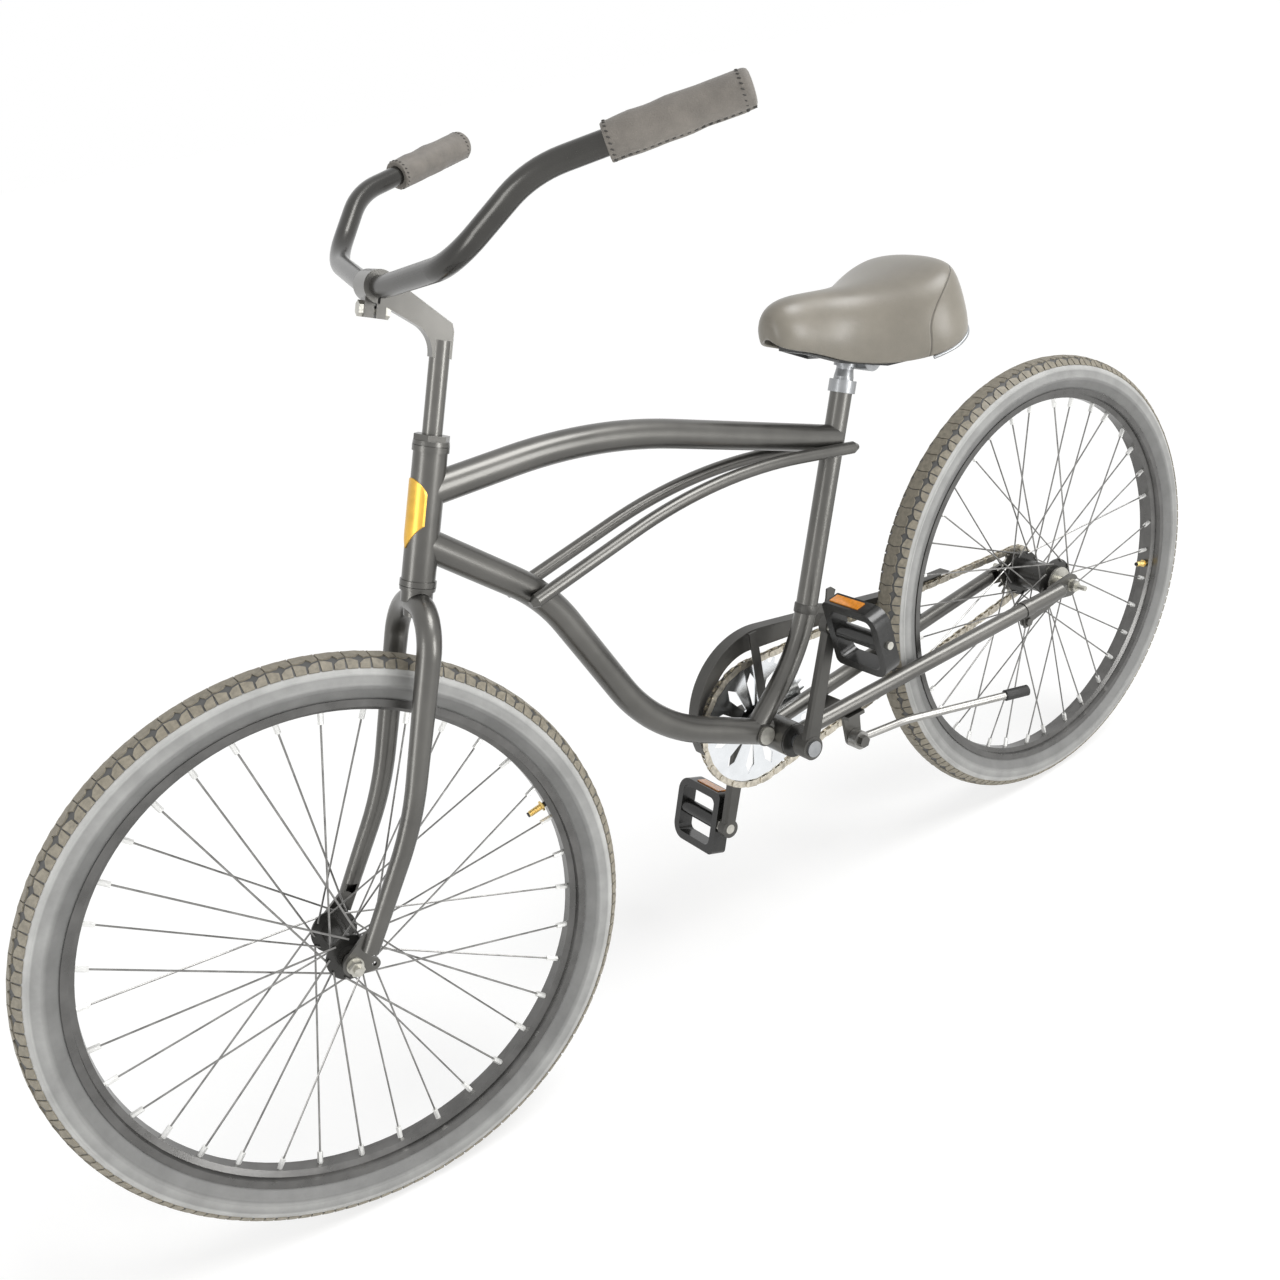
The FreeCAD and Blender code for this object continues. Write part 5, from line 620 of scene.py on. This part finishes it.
def saddle_section(low, high, shares):
    """Points across the saddle at one station, from the left skirt's foot over the top to the right one's."""
    at, wide, crown, under, back = shares
    x = high.x + (low.x - high.x) * at
    half = (high.y - low.y) / 2 * wide
    foot = low.z + (high.z - low.z) * under
    tall = (high.z - low.z) * (crown - under)
    left = []
    for nose_share, back_share in zip(NOSE_SHARES, BACK_SHARES):
        across, up = (one + (other - one) * back for one, other in zip(nose_share, back_share))
        left.append(Vector((x, half * across, foot + tall * up)))
    right = [Vector((point.x, -point.y, point.z)) for point in left[1:]]
    return list(reversed(left)) + right


class CRUISER_OT_saddle(bpy.types.Operator):
    """Makes the padded saddle cover and the bead round the back of its skirt"""

    bl_idname = "cruiser.saddle"
    bl_label = "Add Saddle"

    def execute(self, context):
        sizes = context.scene.cruiser_sizes
        low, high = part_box("saddle_cover")
        shape = bmesh.new()
        rows = []
        for shares in SADDLE_SHARES:
            verts = [shape.verts.new(point) for point in saddle_section(low, high, shares)]
            rows.append([shape.edges.new(pair) for pair in zip(verts, verts[1:])])
        for front, back in zip(rows, rows[1:]):
            bmesh.ops.bridge_loops(shape, edges=front + back)
        for row in (rows[0], rows[-1]):
            bmesh.ops.contextual_create(shape, geom=row)
        bmesh.ops.recalc_face_normals(shape, faces=shape.faces[:])
        # The cover is open below, so its normals may all have come out inwards.
        if sum(face.normal.z for face in shape.faces) < 0:
            bmesh.ops.reverse_faces(shape, faces=shape.faces[:])
        piece = finish_piece(shape, "saddle_padded", "saddle", "saddle_vinyl", 80.0)
        skirt = piece.modifiers.new("skirt", "SOLIDIFY")
        skirt.thickness = sizes.saddle_skin
        skirt.offset = -1.0
        soft = piece.modifiers.new("soft", "SUBSURF")
        soft.levels = soft.render_levels = 2
        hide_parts("saddle_cover")
        self.bead(sizes, low, high)
        return {"FINISHED"}

    def bead(self, sizes, low, high):
        """A bright bead under the skirt from one side round the back to the other."""
        back = [shares for shares in SADDLE_SHARES if shares[0] > SADDLE_BEAD_FROM]
        points = [saddle_section(low, high, shares)[0] for shares in back]
        points += [saddle_section(low, high, shares)[-1] for shares in reversed(back)]
        line = bpy.data.curves.new("saddle_bead", "CURVE")
        line.dimensions = "3D"
        line.bevel_depth = sizes.saddle_trim
        line.bevel_resolution = 3
        line.use_fill_caps = True
        run = line.splines.new("NURBS")
        run.points.add(len(points) - 1)
        for spot, point in zip(run.points, points):
            spot.co = (*point, 1.0)
        run.use_endpoint_u = True
        run.order_u = 3
        line.materials.append(finish_named("post_plating"))
        piece = bpy.data.objects.new("saddle_bead", line)
        bpy.context.scene.collection.objects.link(piece)
        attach(piece, "saddle")


# The grip's outline in millimetres: out from its wall and along from its mouth, then along from its end.
GRIP_MOUTH = ((-0.9, -0.2), (-0.1, 1.0), (0.2, 4.0))
GRIP_END = ((-0.2, -5.0), (-0.8, -3.0), (-2.0, -1.2), (-4.0, -0.2), (-7.0, 0.2))
GRIP_BORE = 11.15 * MM
GRIP_MIDDLE = 0.2 * MM
GRIP_STEPS = 20
GRIP_FACETS = 72
# Where the seam lies on the bar, nearly straight below.
GRIP_SEAM_SIDE = (0.25, 0.3, -0.92)
# Half the seam's width and its depth; the swollen edges' place, width, height and wave along the stitches.
GRIP_SEAM_HALF, GRIP_SEAM_DEPTH = 1.6 * MM, 1.3
GRIP_EDGE_AT, GRIP_EDGE_WIDE, GRIP_EDGE_RISE, GRIP_EDGE_WAVE = 4.2 * MM, 2.2 * MM, 0.45, 0.35
# Dents in the leather: how close they are, and their depth in millimetres.
GRIP_DENTS = ((42.0, 1.0), (95.0, 0.35))
# Only what is nearer to the wall than this is drawn in, so the bore stays round.
GRIP_DEPTH = 3 * MM
# Stitches across the seam and round the ends: lengths, places from the mouth and from the end, and counts.
SEAM_STITCH, END_STITCH = 5.4 * MM, 3.6 * MM
MOUTH_RING, END_RING = (3.4 * MM, 20), (9.5 * MM, 22)


def grip_place(name):
    """A grip's own frame: Z from its mouth to its closed end, X towards the seam under it; and its length."""
    points = np.array([vert.co for vert in frame["nodes"][name].data.vertices])
    low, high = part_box("handlebar")
    middle = points.mean(0)
    along = Vector(np.linalg.svd(points - middle, full_matrices=False)[2][0])
    outward = Vector(middle) - (low + high) / 2
    outward.x = 0
    if along.dot(outward) < 0:
        along.negate()
    reach = (points - middle) @ np.array(along)
    mouth = Vector(middle) + along * float(reach.min())
    down = Vector(GRIP_SEAM_SIDE)
    seam = (down - along * down.dot(along)).normalized()
    turn = Matrix((seam, along.cross(seam), along)).transposed().to_4x4()
    return Matrix.Translation(mouth) @ turn, float(reach.max() - reach.min())


def grip_outline(wall, long):
    """The sleeve's closed section as (radius, along), softly swollen, with its end closed over the bar."""
    outline = [(GRIP_BORE, 0.0)] + [(wall + out * MM, at * MM) for out, at in GRIP_MOUTH]
    for step in range(1, GRIP_STEPS):
        share = step / GRIP_STEPS
        swell = 0.5 * math.sin(share * math.pi) - 0.25 * math.cos(share * 3 * math.tau)
        outline.append((wall + swell * MM, long * share))
    outline += [(wall + out * MM, long + at * MM) for out, at in GRIP_END]
    return outline + [(GRIP_MIDDLE, long + 0.5 * MM), (GRIP_MIDDLE, long - 3 * MM), (GRIP_BORE, long - 3.2 * MM)]


def stitch(shape, spot, heading, long, thread):
    """One short thread with round ends."""
    turn = Vector(heading).to_track_quat("Z", "Y").to_matrix().to_4x4()
    size = Matrix.Diagonal((thread, thread, long / 2, 1.0))
    bmesh.ops.create_uvsphere(shape, u_segments=8, v_segments=6, radius=1.0,
                              matrix=Matrix.Translation(spot) @ turn @ size)


class CRUISER_OT_grips(bpy.types.Operator):
    """Makes the sewn leather grips and their stitches"""

    bl_idname = "cruiser.grips"
    bl_label = "Add Grips"

    def execute(self, context):
        sizes = context.scene.cruiser_sizes
        wall = GRIP_BORE + sizes.grip_wall
        for side in ("left", "right"):
            place, long = grip_place(f"grip_{side}")
            shape = bmesh.new()
            turned_body(shape, grip_outline(wall, long), (0, 0, 1), GRIP_FACETS)
            self.pucker(shape, sizes, wall)
            shape.transform(place)
            piece = finish_piece(shape, f"grip_{side}_sewn", "stem", "grip_leather", 60.0)
            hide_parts(f"grip_{side}")
            self.sew(sizes, place, wall, long, side)
        return {"FINISHED"}

    def pucker(self, shape, sizes, wall):
        """Draws the leather in along the seam and at each stitch, and dents it softly elsewhere."""
        for vert in shape.verts:
            out = math.hypot(vert.co.x, vert.co.y)
            if out < wall - GRIP_DEPTH:
                continue
            turn = math.atan2(vert.co.y, vert.co.x)
            seam = math.exp(-(turn * wall / GRIP_SEAM_HALF) ** 2)
            edge = math.exp(-((abs(turn) * wall - GRIP_EDGE_AT) / GRIP_EDGE_WIDE) ** 2)
            wave = math.cos(vert.co.z / sizes.stitch_step * math.tau)
            dent = sum(noise.noise(vert.co * close) * deep for close, deep in GRIP_DENTS)
            swell = edge * (GRIP_EDGE_RISE + GRIP_EDGE_WAVE * wave)
            change = (-GRIP_SEAM_DEPTH * seam + swell + dent) * MM
            vert.co.x *= (out + change) / out
            vert.co.y *= (out + change) / out

    def sew(self, sizes, place, wall, long, side):
        """Threads across the seam, and round both ends."""
        threads = bmesh.new()
        count = int(long / sizes.stitch_step)
        for step in range(count):
            spot = Vector((wall - 0.1 * MM, 0, (step + 0.5) * long / count))
            for lean in (1, -1):
                stitch(threads, spot, (0, 0.82, lean * 0.57), SEAM_STITCH, sizes.thread)
        for at, turns in (MOUTH_RING, (long - END_RING[0], END_RING[1])):
            for step in range(turns):
                turn = (step + 0.5) / turns * math.tau
                spot = Vector((math.cos(turn), math.sin(turn), 0)) * (wall + 0.1 * MM) + Vector((0, 0, at))
                heading = (-math.sin(turn) * 0.6, math.cos(turn) * 0.6, 0.8)
                stitch(threads, spot, heading, END_STITCH, sizes.thread)
        threads.transform(place)
        finish_piece(threads, f"grip_{side}_stitches", "stem", "stitch_thread", 60.0)


# The valve stems: degrees round the wheel, and millimetres from the axle along the stem and across it.
VALVE_ANGLES = {"front": 146.1, "rear": 196.0}
VALVE_BORE, VALVE_FOOT, VALVE_TIP = 3.02, -270.0, -249.8
VALVE_CREST, VALVE_ROOT, VALVE_PITCH, VALVE_RIDGES, VALVE_THREAD_FROM = 3.9, 3.35, 1.5, 12, -268.0
VALVE_NUT_RADIUS, VALVE_NUT_AT, VALVE_NUT_THICK = 6.2, -268.4, 2.4
VALVE_FACETS = 20


class CRUISER_OT_valves(bpy.types.Operator):
    """Makes the threaded brass valve stems and their nuts"""

    bl_idname = "cruiser.valves"
    bl_label = "Add Valves"

    def execute(self, context):
        outline = [(VALVE_BORE, VALVE_FOOT)]
        for ridge in range(VALVE_RIDGES):
            at = VALVE_THREAD_FROM + ridge * VALVE_PITCH
            outline += [(VALVE_CREST, at), (VALVE_ROOT, at + VALVE_PITCH / 2)]
        outline.append((VALVE_BORE, VALVE_TIP))
        for end, angle in VALVE_ANGLES.items():
            shape = bmesh.new()
            turned_body(shape, in_metres(outline), (0, 0, 1), VALVE_FACETS)
            nut = bmesh.ops.create_circle(shape, cap_ends=True, segments=6, radius=VALVE_NUT_RADIUS * MM,
                                          matrix=Matrix.Translation((0, 0, VALVE_NUT_AT * MM)))
            faces = [face for face in shape.faces if all(vert in nut["verts"] for vert in face.verts)]
            raise_faces(shape, faces, (0, 0, VALVE_NUT_THICK * MM))
            bmesh.ops.recalc_face_normals(shape, faces=shape.faces[:])
            turn = Matrix.Rotation(math.radians(-90 - angle), 4, "Y")
            shape.transform(wheel_place(end) @ turn)
            finish_piece(shape, f"{end}_valve_stem", f"{end}_wheel", "valve_brass")
        return {"FINISHED"}


# The guard's clip, in the frame of the seat tube where it sits: X back from the tube, Z up along it.
CLIP_SPOT = (-0.1249, 0, 0.462)
CLIP_RISE = (-0.3681, 0, 0.9298)
CLIP_BACK = (-0.9298, 0, -0.3681)
CLIP_BOLT_BACK = 40.0 * MM
# Outlines in millimetres: radius and along for the band and the bolt, back and up for the ears and the tab.
BAND_OUTLINE = ((14.35, -6.0), (15.6, -6.0), (16.0, -5.4), (16.0, 5.4), (15.6, 6.0), (14.35, 6.0))
EAR_OUTLINE = ((14.6, -5.8), (40, -5.8), (44.5, -3.6), (46, 0), (44.5, 3.6), (40, 5.8), (14.6, 5.8))
TAB_OUTLINE = ((33, -4), (40, -7), (47, -4), (48.5, 8), (46, 14), (47, 26), (39, 29), (31.5, 26), (33, 14))
BOLT_OUTLINE = ((0.1, -9.6), (2.4, -9.6), (2.6, -7.8), (5.6, -8.0), (6.6, -7.2), (6.6, -4.6), (7.4, -4.4),
                (7.4, -3.5), (2.5, -3.4), (2.5, 3.5), (5.5, 3.6), (5.5, 7.2), (4.6, 8.0), (0.1, 8.2))
# The plates' sides and thicknesses in millimetres.
CLIP_PLATES = ((EAR_OUTLINE, -3.4, 1.8), (EAR_OUTLINE, 1.6, 1.8), (TAB_OUTLINE, -1.4, 2.8))


class CRUISER_OT_clip(bpy.types.Operator):
    """Makes the band and bolt that hold the chain guard's tab to the seat tube"""

    bl_idname = "cruiser.clip"
    bl_label = "Add Guard Clip"

    def execute(self, context):
        rise = Vector(CLIP_RISE)
        back = Vector(CLIP_BACK)
        turn = Matrix((back, rise.cross(back), rise)).transposed().to_4x4()
        place = Matrix.Translation(CLIP_SPOT) @ turn
        band = bmesh.new()
        turned_body(band, in_metres(BAND_OUTLINE), (0, 0, 1), 48)
        for outline, side, thick in CLIP_PLATES:
            face = band.faces.new([band.verts.new((x, side * MM, z)) for x, z in in_metres(outline)])
            raise_faces(band, [face], (0, thick * MM, 0))
        bmesh.ops.recalc_face_normals(band, faces=band.faces[:])
        band.transform(place)
        finish_piece(band, "guard_clip", "frame", "guard_paint")
        bolt = bmesh.new()
        turned_body(bolt, in_metres(BOLT_OUTLINE), (0, 1, 0), 32)
        bolt.transform(place @ Matrix.Translation((CLIP_BOLT_BACK, 0, 0)))
        finish_piece(bolt, "guard_clip_bolt", "frame", "zinc_steel")
        return {"FINISHED"}


# Stage

# Soft boxes: place, aim, width, height and power.
SOFT_BOXES = {
    "window_lamp": ((3.2, 0.5, 1.2), (0.1, 0.0, 0.5), 0.8, 2.2, 28.0),
    "side_lamp": ((-1.0, 3.0, 0.95), (0.0, 0.0, 0.5), 1.0, 1.8, 48.0),
}
CEILING_RAYS = (0.42, -0.38, -0.82)
CEILING_STRENGTH = 1.9
CEILING_SPREAD = 30.0
FLOOR_HALF = 40.0
# The floor's glow for rays that show it, and its share against the floor's own shade, which keeps the shadow.
FLOOR_GLOW = 1.16
FLOOR_GLOW_SHARE = 0.62
# The surroundings' strength as light on the bicycle, and how much more where they are seen or mirrored.
FILL_STRENGTH = 0.35
SEEN_GAIN = 0.65
# The photograph's own viewpoint: place, degrees round, up and of roll, focal length, and shift of the frame.
CAMERA_SPOT = (0.90426, 1.26119, 1.18661)
CAMERA_TURN, CAMERA_RISE, CAMERA_ROLL = 147.475, 23.766, -10.387
CAMERA_LENS = 37.79
CAMERA_SENSOR = 36.0
CAMERA_SHIFT = (-0.018, -0.0115)
CAMERA_CLIP = (0.05, 200.0)


def soft_box(name, spot, aim, width, height, power):
    """A rectangle of light that points at a spot."""
    lamp = bpy.data.lights.new(name, "AREA")
    lamp.shape = "RECTANGLE"
    lamp.size = width
    lamp.size_y = height
    lamp.energy = power
    made = bpy.data.objects.new(name, lamp)
    made.location = spot
    made.rotation_euler = (Vector(aim) - Vector(spot)).to_track_quat("-Z", "Y").to_euler()
    bpy.context.scene.collection.objects.link(made)


def seen_flag(tree):
    """1 for rays from the camera and for mirrored and refracted ones."""
    path = node(tree, "ShaderNodeLightPath")
    shown = maths(tree, "MAXIMUM", path.outputs["Is Camera Ray"], path.outputs["Is Glossy Ray"])
    return maths(tree, "MAXIMUM", shown, path.outputs["Is Transmission Ray"])


class CRUISER_OT_stage(bpy.types.Operator):
    """Makes the pale floor, the soft lamps, the white surroundings and the camera"""

    bl_idname = "cruiser.stage"
    bl_label = "Set Stage"

    def execute(self, context):
        scene = context.scene
        scene.view_settings.view_transform = "Standard"
        self.floor(scene)
        self.surroundings(scene)
        self.ceiling(scene)
        for name, box in SOFT_BOXES.items():
            soft_box(name, *box)
        self.camera(scene)
        return {"FINISHED"}

    def ceiling(self, scene):
        """One wide even light from above, behind and to the left."""
        lamp = bpy.data.lights.new("ceiling_light", "SUN")
        lamp.energy = CEILING_STRENGTH
        lamp.angle = math.radians(CEILING_SPREAD)
        made = bpy.data.objects.new("ceiling_light", lamp)
        made.rotation_euler = Vector(CEILING_RAYS).to_track_quat("-Z", "Y").to_euler()
        scene.collection.objects.link(made)

    def floor(self, scene):
        """A wide pale floor that shows white and keeps the bicycle's shadow."""
        shape = bmesh.new()
        bmesh.ops.create_grid(shape, x_segments=1, y_segments=1, size=FLOOR_HALF)
        mesh = bpy.data.meshes.new("floor")
        shape.to_mesh(mesh)
        shape.free()
        made = bpy.data.materials.new("floor_pale")
        made.use_nodes = True
        tree = made.node_tree
        tree.nodes.clear()
        matt = node(tree, "ShaderNodeBsdfDiffuse")
        matt.inputs["Color"].default_value = (*scene.cruiser_colours.floor, 1.0)
        glow = node(tree, "ShaderNodeEmission", Strength=FLOOR_GLOW)
        mix = node(tree, "ShaderNodeMixShader")
        out = node(tree, "ShaderNodeOutputMaterial")
        tree.links.new(maths(tree, "MULTIPLY", seen_flag(tree), FLOOR_GLOW_SHARE), mix.inputs["Fac"])
        tree.links.new(matt.outputs["BSDF"], mix.inputs[1])
        tree.links.new(glow.outputs["Emission"], mix.inputs[2])
        tree.links.new(mix.outputs["Shader"], out.inputs["Surface"])
        mesh.materials.append(made)
        floor = bpy.data.objects.new("floor", mesh)
        scene.collection.objects.link(floor)

    def surroundings(self, scene):
        """White all round where it is seen or mirrored, and a low fill light elsewhere."""
        world = bpy.data.worlds.new("white_surroundings")
        scene.world = world
        world.use_nodes = True
        tree = world.node_tree
        back = tree.nodes["Background"]
        back.inputs["Color"].default_value = (1, 1, 1, 1)
        level = maths(tree, "MULTIPLY_ADD", seen_flag(tree), SEEN_GAIN, FILL_STRENGTH)
        tree.links.new(level, back.inputs["Strength"])

    def camera(self, scene):
        """A camera turned, raised, rolled and shifted as the photograph's was."""
        turn = math.radians(CAMERA_TURN)
        rise = math.radians(CAMERA_RISE)
        roll = math.radians(CAMERA_ROLL)
        back = Vector((math.sin(turn) * math.cos(rise), -math.cos(turn) * math.cos(rise), math.sin(rise)))
        right = Vector((0, 0, 1)).cross(back).normalized()
        up = back.cross(right)
        across = right * math.cos(roll) + up * math.sin(roll)
        above = up * math.cos(roll) - right * math.sin(roll)
        lens = bpy.data.cameras.new("photo_camera")
        lens.sensor_width = CAMERA_SENSOR
        lens.lens = CAMERA_LENS
        lens.shift_x, lens.shift_y = CAMERA_SHIFT
        lens.clip_start, lens.clip_end = CAMERA_CLIP
        made = bpy.data.objects.new("photo_camera", lens)
        place = Matrix((across, above, back)).transposed().to_4x4()
        place.translation = CAMERA_SPOT
        made.matrix_world = place
        scene.collection.objects.link(made)
        scene.camera = made


class CRUISER_PT_panel(bpy.types.Panel):
    """Lists the steps that dress the bicycle"""

    bl_idname = "CRUISER_PT_panel"
    bl_label = "Beach Cruiser"
    bl_space_type = "VIEW_3D"
    bl_region_type = "UI"
    bl_category = "Cruiser"

    def draw(self, context):
        for step in STEPS:
            self.layout.operator(step.bl_idname)
        for group in (context.scene.cruiser_sizes, context.scene.cruiser_colours):
            for name in group.__annotations__:
                self.layout.prop(group, name)


STEPS = (CRUISER_OT_finishes, CRUISER_OT_tyres, CRUISER_OT_nipples, CRUISER_OT_saddle, CRUISER_OT_grips,
         CRUISER_OT_valves, CRUISER_OT_clip, CRUISER_OT_stage)
CLASSES = (CruiserSizes, CruiserColours, *STEPS, CRUISER_PT_panel)


def register():
    for item in CLASSES:
        bpy.utils.register_class(item)
    bpy.types.Scene.cruiser_sizes = PointerProperty(type=CruiserSizes)
    bpy.types.Scene.cruiser_colours = PointerProperty(type=CruiserColours)


def unregister():
    del bpy.types.Scene.cruiser_colours
    del bpy.types.Scene.cruiser_sizes
    for item in reversed(CLASSES):
        bpy.utils.unregister_class(item)


def main():
    register()
    bpy.ops.cruiser.finishes()
    bpy.ops.cruiser.tyres()
    bpy.ops.cruiser.nipples()
    bpy.ops.cruiser.saddle()
    bpy.ops.cruiser.grips()
    bpy.ops.cruiser.valves()
    bpy.ops.cruiser.clip()
    bpy.ops.cruiser.stage()


if __name__ == "__main__":
    main()
